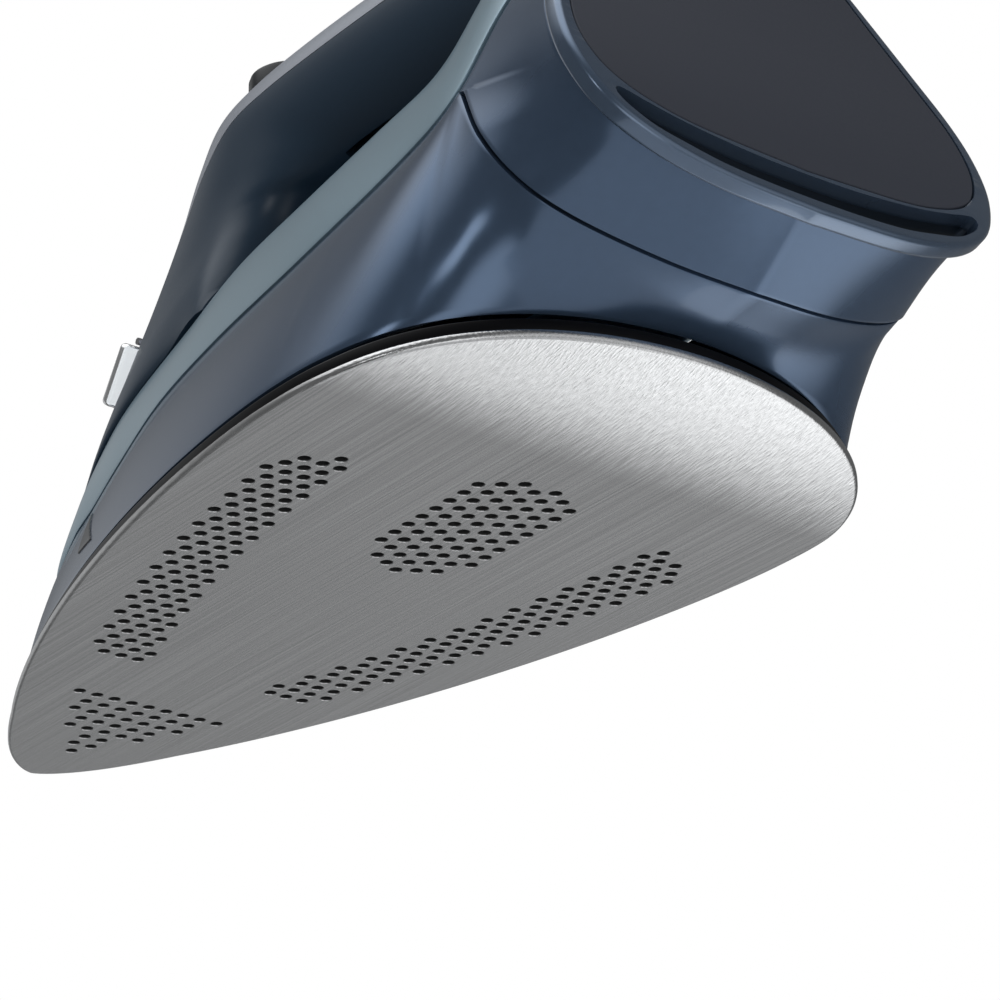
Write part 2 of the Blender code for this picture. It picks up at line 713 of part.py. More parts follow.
def ring_shares(t, parts_in, parts_out):
    """Where a ring is sampled: under the top cover, then round the open side."""
    seam = float(along(HANDLE_RINGS, t)[9])
    covered = [seam * math.sin(f * math.pi / 2) ** 2 for f in samples(0, 1, parts_in + 1)]
    bare = [
        seam + (1 - seam) * (1 - math.cos(f * math.pi)) / 2 for f in samples(0, 1, parts_out + 1)
    ]
    return covered, bare


def make_handle_body():
    rings = []
    for t in samples(0, 15, 31):
        covered, bare = ring_shares(t, 4, 7)
        deep = COVER_THICK + GAP
        left = [sunk_point(t, a, deep) for a in covered]
        left += [ring_point(t, a, 1) for a in [bare[0] + 0.006, *bare[1:]]]
        right = [p * (1, -1, 1) for p in left[-2:0:-1]]
        rings.append(left + right)
    handle = loft("handle_body", rings, "handle_navy", ridged=True)
    handle.data.transform(Matrix.Scale(1 / FINE, 4))
    handle.scale = (FINE, FINE, FINE)
    cut(handle, *handle_pockets(), solver="MANIFOLD")
    return handle


SHIFT = Vector((0.0, 0.11, 0.0))    # keeps a cutter's corners off the plane of symmetry


def handle_pockets():
    """Everything that is hollowed out of the handle."""
    def bore(name, profile, origin, direction=(0, 0, 1), steps=16):
        return as_cutter(turned(name, profile, origin, "brass", direction, steps))

    yield bore("button_well", rod(BUTTON_R + 0.8, 112, 130), (BUTTON_X, 0, 0))
    yield bore("pump_bore", rod(7.0, 84, 113), (BUTTON_X, 0, 0))
    yield bore("nozzle_well", rod(4.05, -6.4, 9), Vector(NOZZLE_AT) + SHIFT, NOZZLE_AIM, 13)
    yield as_cutter(block("selector_well", (26, 9, 20), (SELECTOR_X - 5, 0, 118), "brass", 0))
    low, high = TRIGGER_X
    middle = (low + high) / 2
    size = (high - low + 1.3, 15.2, 13.3)
    yield as_cutter(block("trigger_well", size, (middle + 0.07, 0.06, 89.2), "brass", 0))
    yield bore("gland_well", rod(8.4, -14, 20), (GLAND_X, 0, 114), (-0.5, 0, 0.866))
    yield bore("lamp_well", rod(3.6, 112, 130), (-46, 0, 0), steps=12)
    yield bore("port_bore", rod(6.8, -26, -6), (66.7, 0.0, 75.2), (0.62, 0, 0.785), 15)
    yield bore("port_seat", rod(6.9, -10, 1), DOOR_AT, DOOR_OUT, 17)
    yield as_cutter(door_recess("door_recess"))


def make_top_cover():
    grid = []
    for t in samples(1, 14.9, 29):
        covered, _ = ring_shares(t, 4, 7)
        left = [ring_point(t, a * 0.985, 1) for a in covered[::-1]]
        grid.append(left + [p * (1, -1, 1) for p in left[-2::-1]])
    return sheet("handle_top_cover", grid, "cover_grey", COVER_THICK - 0.8, inward=(0, 0, 90))


def make_cover_openings(cover):
    """Holes in the handle's top cover for what stands through it."""
    def hole(name, radius, origin, direction=(0, 0, 1), steps=20):
        return as_cutter(turned(name, rod(radius, -9, 9), origin, "brass", direction, steps))

    cut(cover, hole("cover_button_hole", BUTTON_R + 0.5, (BUTTON_X, 0, 119)))
    cut(cover, as_cutter(block("cover_selector_slot", (21, 3.2, 12), (SELECTOR_X - 5, 0, 121), "brass", 0)))
    cut(cover, hole("cover_gland_hole", 8.0, (GLAND_X - 1.5, 0, 117), (-0.5, 0, 0.866)))
    cut(cover, hole("cover_lamp_hole", 3.2, (-46, 0, 121), steps=12))
    cut(cover, as_cutter(door_recess("cover_door_recess")))
    cut(cover, hole("cover_port_hole", 7.0, DOOR_AT, DOOR_OUT, 17))
    cut(cover, hole("cover_nozzle_hole", 4.2, NOZZLE_AT, NOZZLE_AIM, 12))


# ---------------------------------------------------------------- heel
def tilt_plate(obj, depth):
    """Stands a flat piece on the heel plane, its outer face a depth in front of it."""
    turn = Matrix(((0, 0, -1, 0), (-1, 0, 0, 0), (0, 1, 0, 0), (0, 0, 0, 1)))
    lean = Matrix.Rotation(HEEL_TILT, 4, "Y")
    shift = Matrix.Translation(Vector((heel_x(0.0, depth), 0, 0)) * MM)
    obj.data.transform(shift @ lean @ turn)
    start = obj.data.vertices[0].co
    if sum(p.area * p.normal.dot(p.center - start) for p in obj.data.polygons) < 0:
        obj.data.flip_normals()
    return obj


def heel_outline(margin, low=None, count=37):
    """The heel's outline in its own plane: across, and up along the slope."""
    points = []
    for s in samples(0, 12, count):
        _, w, z = heel_point(s, margin, 0.0)
        points.append((w, z / math.cos(HEEL_TILT)))
    return whole_heel(points)


def whole_heel(right):
    return right + [(-w, z) for w, z in right[::-1] if w > 1e-6]


# Half outline of the grey panel: across, and height on the heel.
PANEL_OUTLINE = [
    (0, 0.0, 31.3), (1, 22.0, 32.6), (2, 32.0, 34.6), (3, 38.6, 37.6), (4, 42.4, 41.6),
    (5, 44.3, 48.0), (6, 43.0, 56.5), (7, 38.8, 65.5), (8, 32.0, 79.0), (9, 25.5, 92.5),
    (10, 18.5, 104.0), (11, 10.5, 111.5), (12, 0.0, 114.6),
]
# Half outline of the grip slot below the panel: across, lower and upper height on the heel.
SLOT_EDGES = [
    (0, 24.2, 30.2), (10, 24.4, 30.4), (20, 25.2, 31.3), (28, 26.9, 32.5), (34, 28.6, 33.9),
    (38, 31.0, 35.0), (39.6, 32.4, 35.2), (40.4, 33.6, 34.6),
]


def panel_outline(margin, count=34):
    points = []
    for s in samples(0, 12, count):
        w, z = along(PANEL_OUTLINE, s)
        run = along(PANEL_OUTLINE, min(s + 0.05, 12)) - along(PANEL_OUTLINE, max(s - 0.05, 0))
        w, z = w - margin * run[1] / np.hypot(*run), z + margin * run[0] / np.hypot(*run)
        points.append((w if 0 < s < 12 else 0.0, z / math.cos(HEEL_TILT)))
    return whole_heel(points)


def slot_outline(margin=0.0, count=21):
    """The long curved grip slot between the panel and the heel's lower rim."""
    lower, upper = [], []
    end = SLOT_EDGES[-1][0]
    for f in samples(-1, 1, count):
        w = end * math.sin(f * math.pi / 2)
        low, high = along(SLOT_EDGES, abs(w))
        w *= 1 - margin / end
        lower.append((w, (low + margin) / math.cos(HEEL_TILT)))
        upper.append((w, (high - margin) / math.cos(HEEL_TILT)))
    return lower + upper[::-1]


SLOT_DEPTH = 3.2
PAD_THICK = 0.5
HEEL_SCREWS = (57.0, 83.0)


def make_heel():
    frame = tilt_plate(plate("heel_frame", [heel_outline(0)], -FRAME_THICK, 0.0, "frame_blue"), 0.0)
    pocket = plate("panel_pocket", [panel_outline(-0.4)], -PANEL_THICK - GAP, 3.0, "brass")
    slot = plate("slot_pocket", [slot_outline()], -SLOT_DEPTH, 3.0, "brass")
    cut(frame, as_cutter(tilt_plate(pocket, 0.0)), as_cutter(tilt_plate(slot, 0.0)))
    tilt_plate(plate("heel_panel", [panel_outline(0)], -PANEL_THICK, 0.0, "heel_grey"), 0.0)
    pad_low = -SLOT_DEPTH + 0.1
    pad = plate("heel_slot_pad", [slot_outline(0.35)], pad_low, pad_low + PAD_THICK, "button_black")
    tilt_plate(pad, 0.0)
    out = Vector((-math.cos(HEEL_TILT), 0, math.sin(HEEL_TILT)))
    bracket = block("rear_bracket", (40, 16, 9), (0, 0, 0), "white_plastic", 0.8)
    bracket.matrix_world = (
        Matrix.Translation(Vector((heel_x(70.0, FRAME_THICK + GAP + 4.5), 0, 70)) * MM)
        @ Matrix.Rotation(-math.pi / 2 + HEEL_TILT, 4, "Y")
    )
    for i, z in enumerate(HEEL_SCREWS):
        at = (heel_x(z, PANEL_THICK + 0.6), 0, z)
        hole = as_cutter(turned(f"heel_screw_hole_{i}", rod(2.2, -9, 1), at, "brass", out, 12))
        cut(frame, hole)
        cut(bracket, hole)
        profile = [(0, -0.4), (1.6, -0.4), (1.6, -8.0), (0, -8.0)]
        turned(f"heel_screw_{i + 1}", profile, at, "spring_steel", out, 10)


# ---------------------------------------------------------------- nose: door, nozzle, vents
DOOR_AT = (70.4, 0.0, 72.6)
DOOR_UP = (-0.5656, 0.0, 0.8247)
DOOR_OUT = (0.8247, 0.0, 0.5656)
DOOR_LENGTH, DOOR_WIDTH = 14.5, 23.0
DOOR_HINGE_UP, DOOR_HINGE_OUT = 8.05, -1.6
NOZZLE_AT = (80.6, 0.0, 56.4)
NOZZLE_AIM = (0.86, 0.0, 0.51)
VENT_CORNERS = ((0.332, 0.60), (0.352, 0.225), (0.380, 0.175))    # on the lower body's wall


def door_recess(name):
    """The pocket for the door and its hinge pin."""
    return door_block(name, 0.6, "brass", 13.0, -3.0, 2.2)


def door_block(name, margin, material, height, low, upper=0.0):
    """A block lying on the slope of the nose: low is its underside above the nose line,
    and upper lengthens its top end."""
    size = (DOOR_LENGTH + 2 * margin + upper, DOOR_WIDTH + 2 * margin, height)
    obj = block(name, size, (0, 0, 0), material, 0)
    frame = Matrix((
        (DOOR_UP[0], 0, DOOR_OUT[0], 0), (0, 1, 0, 0), (DOOR_UP[2], 0, DOOR_OUT[2], 0), (0, 0, 0, 1),
    ))
    lift = (Vector(DOOR_AT) + Vector(DOOR_OUT) * (low + height / 2) + Vector(DOOR_UP) * upper / 2) * MM
    obj.matrix_world = Matrix.Translation(lift) @ frame
    return obj


def make_nose_fittings():
    door = door_block("fill_door", -0.4, "clear_plastic", 3.2, -2.4)
    edge = door.modifiers.new("edge", "BEVEL")
    edge.width = 1.1 * MM
    edge.segments = 2
    aim = Vector(DOOR_OUT)
    turned("fill_port_gasket", ring_profile(6.4, 4.6, -6.6, -3.4), DOOR_AT, "silicone", aim, 16)
    hinge = Vector(DOOR_AT) + Vector(DOOR_UP) * DOOR_HINGE_UP + aim * DOOR_HINGE_OUT
    turned("fill_door_pin", rod(0.8, -8.6, 8.6), hinge, "spring_steel", (0, 1, 0), 8)
    nozzle = [(0, 2.4), (1.8, 2.4), (3.6, 0.6), (3.6, -3.2), (2.0, -3.2), (2.0, -5.5), (0, -5.5)]
    turned("spray_nozzle", nozzle, NOZZLE_AT, "button_black", NOZZLE_AIM, 14)
    for side, name in ((1, "nose_vent_left"), (-1, "nose_vent_right")):
        rib = [body_rib(u, v) for u, v in VENT_CORNERS]
        out = np.cross(rib[1] - rib[0], rib[2] - rib[0])
        out = out / np.linalg.norm(out)
        out = out if out[1] > 0 else -out
        points = [p + out * d for d in (0.35, 0.95) for p in rib]
        points = [p * (1, side, 1) for p in points]
        faces = [(0, 1, 2), (3, 5, 4), (0, 3, 4, 1), (1, 4, 5, 2), (2, 5, 3, 0)]
        add_object(name, mesh_from(name, points, faces), "button_black")


# ---------------------------------------------------------------- pumps, buttons, selector
def coil(name, centre, low, high, radius, turns, wire):
    count = turns * 8 + 1
    points = [
        (
            centre[0] + radius * math.cos(2 * math.pi * turns * f),
            centre[1] + radius * math.sin(2 * math.pi * turns * f),
            low + (high - low) * f,
        )
        for f in samples(0, 1, count)
    ]
    return tube(name, points, wire, "spring_steel", sides=0)


def make_controls():
    x = BUTTON_X
    top = BUTTON_TOP
    cap = [(0, top), (BUTTON_R - 1.6, top), (BUTTON_R - 0.4, top - 0.5), (BUTTON_R, top - 1.6),
           (BUTTON_R, 117.6), (3.2, 117.6), (3.2, 108.2), (0, 108.2)]
    turned("spray_button", cap, (x, 0, 0), "button_black", steps=28)
    turned("spray_piston", [(0, 107.8), (4.3, 107.8), (4.3, 102.0), (0, 102.0)], (x, 0, 0), "white_plastic")
    cup = [(0, 87.5), (4.7, 87.5), (4.7, 111.5), (6.6, 111.5), (6.6, 85.5), (0, 85.5)]
    turned("spray_pump_barrel", cup, (x, 0, 0), "white_plastic")
    coil("spray_spring", (x, 0), 88.4, 101.4, 3.3, 5, 0.45)
    low, high = TRIGGER_X
    middle = (low + high) / 2
    trigger = block("steam_trigger", (high - low, 13.6, 7.0), (middle, 0, 87.6), "button_black", 1.6)
    trigger.modifiers["edge"].segments = 2
    coil("trigger_spring", (middle, 0), 91.6, 95.0, 4.2, 3, 0.4)
    slider = block("steam_selector", (8.0, 6.4, 3.0), (SELECTOR_X - 9, 0, 124.3), "button_black", 0.9)
    stem = block("selector_stem", (3.0, 2.4, 8.0), (SELECTOR_X - 9, 0, 119.0), "button_black", 0)
    stem.matrix_world = Matrix.Translation(Vector((SELECTOR_X - 9, 0, 119.4)) * MM)
    join = slider.modifiers.new("stem", "BOOLEAN")
    join.operation = "UNION"
    join.object = as_cutter(stem)
    lens = [(0, 123.0), (2.0, 122.8), (2.7, 122.0), (2.7, 117.0), (0, 117.0)]
    turned("pilot_lamp_lens", lens, (-46, 0, 0), "lamp_amber", steps=12)


def make_gland():
    aim = (-0.5, 0, 0.866)
    ball = [(3.6, 13.0), (5.0, 12.6), (5.4, 5.0), (6.6, 3.0), (7.2, 0.0), (6.2, -3.6), (3.6, -5.8),
            (3.6, 13.0)]
    turned("cord_gland", ball, (GLAND_X, 0, 114), "button_black", aim, 20)


# ---------------------------------------------------------------- inside the body
def make_tank():
    rings, holes = [], []
    for x, w, low, high in ((-6, 26, 20, 50), (20, 24, 20, 52), (45, 17, 20, 50), (68, 10, 21, 44)):
        for store, pull in ((rings, 0.0), (holes, 1.6)):
            b = pull if store is holes else 0.0
            at = x + (1.8 if x == -6 else -1.8 if x == 68 else 0) * (b > 0)
            top, bottom = high - b, low + b
            side, lower = w - b, min(w + 5, w * 1.25) - b
            half = [(side * 0.55, top), (side, top - 5), (lower, bottom + 5), (lower * 0.8, bottom)]
            ring = [np.array([at, y, z]) for y, z in half]
            store.append(ring + [p * (1, -1, 1) for p in ring[::-1]])
    tank = loft("water_tank", rings, "tank_plastic")
    hollow = as_cutter(loft("tank_hollow", holes, "tank_plastic"))
    neck = as_cutter(turned("tank_neck_hole", rod(6.0, 40, 60), (38, 0, 0), "brass", steps=16))
    drain = as_cutter(turned("tank_drain_hole", rod(2.6, 15, 24), (VALVE_X, 0, 0), "brass", steps=12))
    lid = as_cutter(turned("tank_rod_hole", rod(2.2, 44, 60), (VALVE_X, 0, 0), "brass", steps=12))
    cut(tank, hollow, neck, drain, lid)


def make_valve():
    seat = [(1.5, 19.6), (3.0, 19.6), (3.0, 13.5), (1.5, 13.5), (1.5, 19.6)]
    turned("drip_valve_seat", seat, (VALVE_X, 0, 0), "brass", steps=12)
    needle = [(0, 53.6), (1.4, 53.6), (1.4, 21.5), (0.9, 17.0), (0, 16.4)]
    turned("valve_rod", needle, (VALVE_X, 0, 0), "brass", steps=10)


def make_thermostat():
    block("thermostat", (20, 14, 7), (DIAL_X, 0, 20.6), "white_plastic", 0.6)
    dial = [(0, 64.4), (17.0, 64.4), (18.6, 63.2), (19.0, 59.8), (2.6, 59.8), (2.6, 55.8), (0, 55.8)]
    turned("temperature_dial", dial, (DIAL_X, 0, 0), "handle_navy", steps=32)
    shaft = [(0, 55.4), (2.2, 55.4), (2.2, 24.6), (0, 24.6)]
    turned("dial_shaft", shaft, (DIAL_X, 0, 0), "spring_steel", steps=12)
    turned("thermal_fuse", rod(2.6, -9, 9), (-66, 0, 17), "white_plastic", (0, 1, 0), 12)
    block("terminal_block", (14, 30, 11), (-98, 0, 42), "white_plastic", 0.8)


make_sole()
make_heating()
make_heat_shield()
make_lower_body()
make_rear_cover()
make_side_band()
make_deck()
make_handle_body()
make_cover_openings(make_top_cover())
make_heel()
make_nose_fittings()
make_controls()
make_gland()
make_tank()
make_valve()
make_thermostat()
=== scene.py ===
"""The looks of the steam clothes iron: fine meshes, materials, light and camera.

Frame: the origin is on the flat of the sole, on the centre line, below the handle.
+X points to the tip, +Y to the iron's left, +Z up through the handle. Pieces are drawn
in millimetres for a sole 117 wide, and MM turns one drawing millimetre into metres.
"""
import json
import math

import bmesh
import bpy
import numpy as np
from mathutils import Matrix, Vector

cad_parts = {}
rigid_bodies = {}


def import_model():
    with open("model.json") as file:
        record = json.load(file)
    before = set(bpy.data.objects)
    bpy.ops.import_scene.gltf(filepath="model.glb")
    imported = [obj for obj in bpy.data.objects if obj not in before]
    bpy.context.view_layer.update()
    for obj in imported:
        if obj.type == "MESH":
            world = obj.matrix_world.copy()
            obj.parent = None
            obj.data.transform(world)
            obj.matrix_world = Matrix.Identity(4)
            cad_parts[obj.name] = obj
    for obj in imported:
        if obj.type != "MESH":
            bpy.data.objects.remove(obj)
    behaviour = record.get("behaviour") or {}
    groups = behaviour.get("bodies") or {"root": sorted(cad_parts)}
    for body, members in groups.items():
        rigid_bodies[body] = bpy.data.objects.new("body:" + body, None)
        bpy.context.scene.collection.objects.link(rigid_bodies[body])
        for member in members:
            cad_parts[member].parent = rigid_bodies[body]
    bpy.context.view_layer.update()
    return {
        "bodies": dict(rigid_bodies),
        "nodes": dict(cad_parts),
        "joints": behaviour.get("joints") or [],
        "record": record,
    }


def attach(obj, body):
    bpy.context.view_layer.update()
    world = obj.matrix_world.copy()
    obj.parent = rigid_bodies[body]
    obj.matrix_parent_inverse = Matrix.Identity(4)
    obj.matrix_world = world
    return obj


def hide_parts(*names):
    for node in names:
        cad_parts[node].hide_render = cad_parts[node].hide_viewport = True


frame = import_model()
NODES = frame["nodes"]

# ---------------------------------------------------------------- dimensions
SOLE_WIDTH = 0.1225
DRAWN_WIDTH = 117.0
MM = SOLE_WIDTH / DRAWN_WIDTH
TIP_X = 117.5
TIP_BLUNT = 0.9             # how much the tip is rounded beyond a plain power curve
WIDEST_X = -58.0
REAR_X = -108.0
FRONT_SHARE = 0.62          # share of the outline's run that lies ahead of the widest point
BEND_X = -72.0              # behind this the sole curls up like a sledge
BEND_RISE = 6.0
SOLE_SHEET = 1.6
GAP = 0.4                   # between pieces that meet face to face
FINE = 0.001                # object scale of a piece that is cut in millimetres
HEEL_X0 = -147.7            # heel plane: x = HEEL_X0 + HEEL_SLOPE * z
HEEL_SLOPE = 0.365
HEEL_TILT = math.atan(HEEL_SLOPE)
FRAME_THICK = 4.0
PANEL_THICK = 1.8
SKIRT_LOW = 2.1
SKIRT_HIGH = 4.6
BODY_LOW = 5.9
WALL = 2.2
COVER_THICK = 2.6
PITCH = 4.29
DIAL_X = -44.0
BUTTON_X = 20.0
BUTTON_R = 9.0
BUTTON_TOP = 123.0
TRIGGER_X = (-39.0, -11.0)
SELECTOR_X = -12.0
GLAND_X = -84.0
HOLE_SIDES = 24

# ---------------------------------------------------------------- materials
# colour, roughness, metallic, coat, coat roughness, grain (scale across and along x), bump
LOOKS = {
    "brushed_steel": ((0.62, 0.62, 0.62), 0.22, 1.0, 0.0, 0.1, (9.0, 2200.0), 0.30),
    "cast_aluminium": ((0.55, 0.55, 0.54), 0.50, 1.0, 0.0, 0.1, (900.0, 900.0), 0.20),
    # Near black so that it serves as the painted shade inside the steam holes; the heating element
    # shares it.
    "element_sheath": ((0.020, 0.020, 0.020), 0.55, 0.0, 0.0, 0.1, (600.0, 600.0), 0.10),
    "black_shield": ((0.004, 0.004, 0.005), 0.30, 0.0, 0.0, 0.15, (700.0, 700.0), 0.02),
    "body_blue": ((0.085, 0.135, 0.220), 0.22, 0.60, 0.3, 0.05, (500.0, 500.0), 0.002),
    "band_blue": ((0.300, 0.430, 0.510), 0.30, 0.40, 0.3, 0.08, (500.0, 500.0), 0.002),
    "handle_navy": ((0.026, 0.050, 0.082), 0.30, 0.0, 0.0, 0.2, (900.0, 900.0), 0.010),
    "cover_grey": ((0.420, 0.450, 0.510), 0.34, 0.35, 0.2, 0.2, (900.0, 900.0), 0.010),
    "heel_grey": ((0.060, 0.066, 0.086), 0.60, 0.0, 0.0, 0.2, (1500.0, 1500.0), 0.050),
    "frame_blue": ((0.105, 0.155, 0.235), 0.22, 0.60, 0.8, 0.05, (500.0, 500.0), 0.002),
    "button_black": ((0.004, 0.007, 0.011), 0.24, 0.0, 0.0, 0.1, (700.0, 700.0), 0.010),
    "clear_plastic": ((0.860, 0.900, 0.930), 0.06, 0.0, 0.0, 0.1, (300.0, 300.0), 0.002),
    "tank_plastic": ((0.500, 0.620, 0.720), 0.12, 0.0, 0.0, 0.1, (300.0, 300.0), 0.010),
    "white_plastic": ((0.620, 0.620, 0.600), 0.45, 0.0, 0.0, 0.1, (700.0, 700.0), 0.020),
    "silicone": ((0.420, 0.080, 0.050), 0.60, 0.0, 0.0, 0.1, (500.0, 500.0), 0.020),
    "spring_steel": ((0.450, 0.450, 0.460), 0.30, 1.0, 0.0, 0.1, (900.0, 900.0), 0.020),
    "brass": ((0.560, 0.420, 0.180), 0.35, 1.0, 0.0, 0.1, (900.0, 900.0), 0.020),
    "lamp_amber": ((0.800, 0.320, 0.040), 0.12, 0.0, 0.0, 0.1, (300.0, 300.0), 0.002),
}

SHEEN = {"black_shield": 0.15, "handle_navy": 0.30, "button_black": 0.35, "heel_grey": 0.30}


def make_material(name):
    colour, roughness, metallic, coat, coat_rough, grain, bump = LOOKS[name]
    material = bpy.data.materials.new(name)
    material.use_nodes = True
    nodes, links = material.node_tree.nodes, material.node_tree.links
    shader = nodes["Principled BSDF"]
    shader.inputs["Metallic"].default_value = metallic
    shader.inputs["Specular IOR Level"].default_value = SHEEN.get(name, 0.5)
    shader.inputs["Coat Weight"].default_value = coat
    shader.inputs["Coat Roughness"].default_value = coat_rough
    where = nodes.new("ShaderNodeTexCoord")
    scale = nodes.new("ShaderNodeMapping")
    scale.inputs["Scale"].default_value = (grain[0], grain[1], grain[1])
    links.new(where.outputs["Object"], scale.inputs["Vector"])
    noise = nodes.new("ShaderNodeTexNoise")
    noise.inputs["Scale"].default_value = 1.0
    noise.inputs["Detail"].default_value = 3.0
    links.new(scale.outputs["Vector"], noise.inputs["Vector"])
    span = nodes.new("ShaderNodeMapRange")
    span.inputs["To Min"].default_value = roughness * 0.88
    span.inputs["To Max"].default_value = roughness * 1.12
    links.new(noise.outputs["Fac"], span.inputs["Value"])
    links.new(span.outputs["Result"], shader.inputs["Roughness"])
    tint = nodes.new("ShaderNodeMix")
    tint.data_type = "RGBA"
    spread = 0.30 if name == "brushed_steel" else 0.05
    tint.inputs["A"].default_value = (*(c * (1 - spread) for c in colour), 1.0)
    tint.inputs["B"].default_value = (*(min(c * (1 + spread), 1.0) for c in colour), 1.0)
    links.new(noise.outputs["Fac"], tint.inputs["Factor"])
    links.new(tint.outputs["Result"], shader.inputs["Base Color"])
    relief = nodes.new("ShaderNodeBump")
    relief.inputs["Strength"].default_value = bump
    relief.inputs["Distance"].default_value = 0.0002
    links.new(noise.outputs["Fac"], relief.inputs["Height"])
    links.new(relief.outputs["Normal"], shader.inputs["Normal"])
    if name == "brushed_steel":
        grain_way = nodes.new("ShaderNodeCombineXYZ")
        grain_way.inputs["X"].default_value = 1.0
        links.new(grain_way.outputs["Vector"], shader.inputs["Tangent"])
        shader.inputs["Anisotropic"].default_value = 0.6
    if name in ("clear_plastic", "lamp_amber", "tank_plastic"):
        shader.inputs["Transmission Weight"].default_value = 0.90
    return material


MATERIALS = {name: make_material(name) for name in LOOKS}
CUTTERS = []


def add_object(name, mesh, material):
    obj = bpy.data.objects.new("fine_" + name, mesh)
    bpy.context.scene.collection.objects.link(obj)
    mesh.materials.clear()
    mesh.materials.append(MATERIALS[material])
    return obj


def as_cutter(obj):
    obj.hide_render = True
    CUTTERS.append(obj)
    return obj


def cut(target, *tools, solver="EXACT"):
    for tool in tools:
        modifier = target.modifiers.new("cut", "BOOLEAN")
        modifier.operation = "DIFFERENCE"
        modifier.solver = solver
        modifier.object = tool


def shade(obj, degrees=35.0):
    obj.data.shade_smooth()
    obj.data.set_sharp_from_angle(angle=math.radians(degrees))
    return obj


def soften(obj, width, segments=2, degrees=40.0):
    """Rounds the sharp edges of a piece."""
    edge = obj.modifiers.new("soft_edge", "BEVEL")
    edge.width = width * MM
    edge.segments = segments
    edge.limit_method = "ANGLE"
    edge.angle_limit = math.radians(degrees)
    return obj


def settle(obj, body, slot, degrees=35.0, node=None):
    """Makes the modifiers final, and lets the piece stand for its CAD node."""
    bpy.context.view_layer.update()
    graph = bpy.context.evaluated_depsgraph_get()
    mesh = bpy.data.meshes.new_from_object(obj.evaluated_get(graph))
    mesh.transform(obj.matrix_world)
    obj.modifiers.clear()
    obj.data = mesh
    obj.matrix_world = Matrix.Identity(4)
    mesh.materials.clear()
    mesh.materials.append(MATERIALS[slot])
    for polygon in mesh.polygons:
        polygon.material_index = 0
    if degrees:
        shade(obj, degrees)
    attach(obj, body)
    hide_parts(node or obj.name.removeprefix("fine_"))
    return obj


# ---------------------------------------------------------------- curves and meshes
def along(table, t):
    """A smooth curve through rows of (t, values...), as a Catmull-Rom spline."""
    table = np.asarray(table, float)
    keys, values = table[:, 0], table[:, 1:]
    i = int(np.clip(np.searchsorted(keys, t) - 1, 0, len(keys) - 2))
    slopes = []
    for j in (i, i + 1):
        low, high = max(j - 1, 0), min(j + 1, len(keys) - 1)
        slopes.append((values[high] - values[low]) / (keys[high] - keys[low]))
    span = keys[i + 1] - keys[i]
    f = (t - keys[i]) / span
    return (
        (1 + 2 * f) * (1 - f) ** 2 * values[i]
        + f * (1 - f) ** 2 * span * slopes[0]
        + f**2 * (3 - 2 * f) * values[i + 1]
        + f**2 * (f - 1) * span * slopes[1]
    )


def weld(mesh):
    """Joins coincident points and turns every face outward."""
    work = bmesh.new()
    work.from_mesh(mesh)
    bmesh.ops.remove_doubles(work, verts=work.verts, dist=1e-6)
    bmesh.ops.recalc_face_normals(work, faces=work.faces)
    if work.calc_volume(signed=True) < 0:
        bmesh.ops.reverse_faces(work, faces=work.faces)
    work.to_mesh(mesh)
    work.free()
    return mesh


def mesh_from(name, points, faces):
    mesh = bpy.data.meshes.new(name)
    mesh.from_pydata([tuple(np.asarray(p, float) * MM) for p in points], [], faces)
    return weld(mesh)


def loft(name, rings, material, ridged=False):
    """A closed solid through rings of equal length. A ridged one starts each ring on its
    plane of symmetry, and its ends are closed from side to side."""
    count = len(rings[0])
    points = [p for ring in rings for p in ring]
    faces = []
    for i in range(len(rings) - 1):
        for j in range(count):
            k = (j + 1) % count
            faces.append((i * count + j, i * count + k, (i + 1) * count + k, (i + 1) * count + j))
    last = (len(rings) - 1) * count
    if not ridged:
        faces += [tuple(range(count))[::-1], tuple(range(last, last + count))]
    for start in (0, last) if ridged else ():
        half = count // 2
        faces.append((start, start + 1, start + count - 1))
        faces.append((start + half - 1, start + half, start + half + 1))
        faces += [
            (start + j, start + j + 1, start + count - j - 1, start + count - j)
            for j in range(1, half - 1)
        ]
    return shade(add_object(name, mesh_from(name, points, faces), material))


def sheet(name, grid, material, thickness, closed=False, inward=None):
    """A shell: an open surface of rows of points, thickened away from its outer side."""
    rows, columns = len(grid), len(grid[0])
    points = [p for row in grid for p in row]
    faces = []
    for i in range(rows if closed else rows - 1):
        k = (i + 1) % rows
        for j in range(columns - 1):
            faces.append((i * columns + j, i * columns + j + 1, k * columns + j + 1, k * columns + j))
    mesh = mesh_from(name, points, faces)
    middle = Vector(inward) * MM
    facing = sum((f.center - middle).dot(f.normal) * f.area for f in mesh.polygons)
    if facing < 0:
        mesh.flip_normals()
    obj = add_object(name, mesh, material)
    wall = obj.modifiers.new("wall", "SOLIDIFY")
    wall.thickness = thickness * MM
    wall.offset = -1.0
    return obj


def signed_area(outline):
    return sum(
        x0 * y1 - x1 * y0 for (x0, y0), (x1, y1) in zip(outline, outline[1:] + outline[:1])
    ) / 2


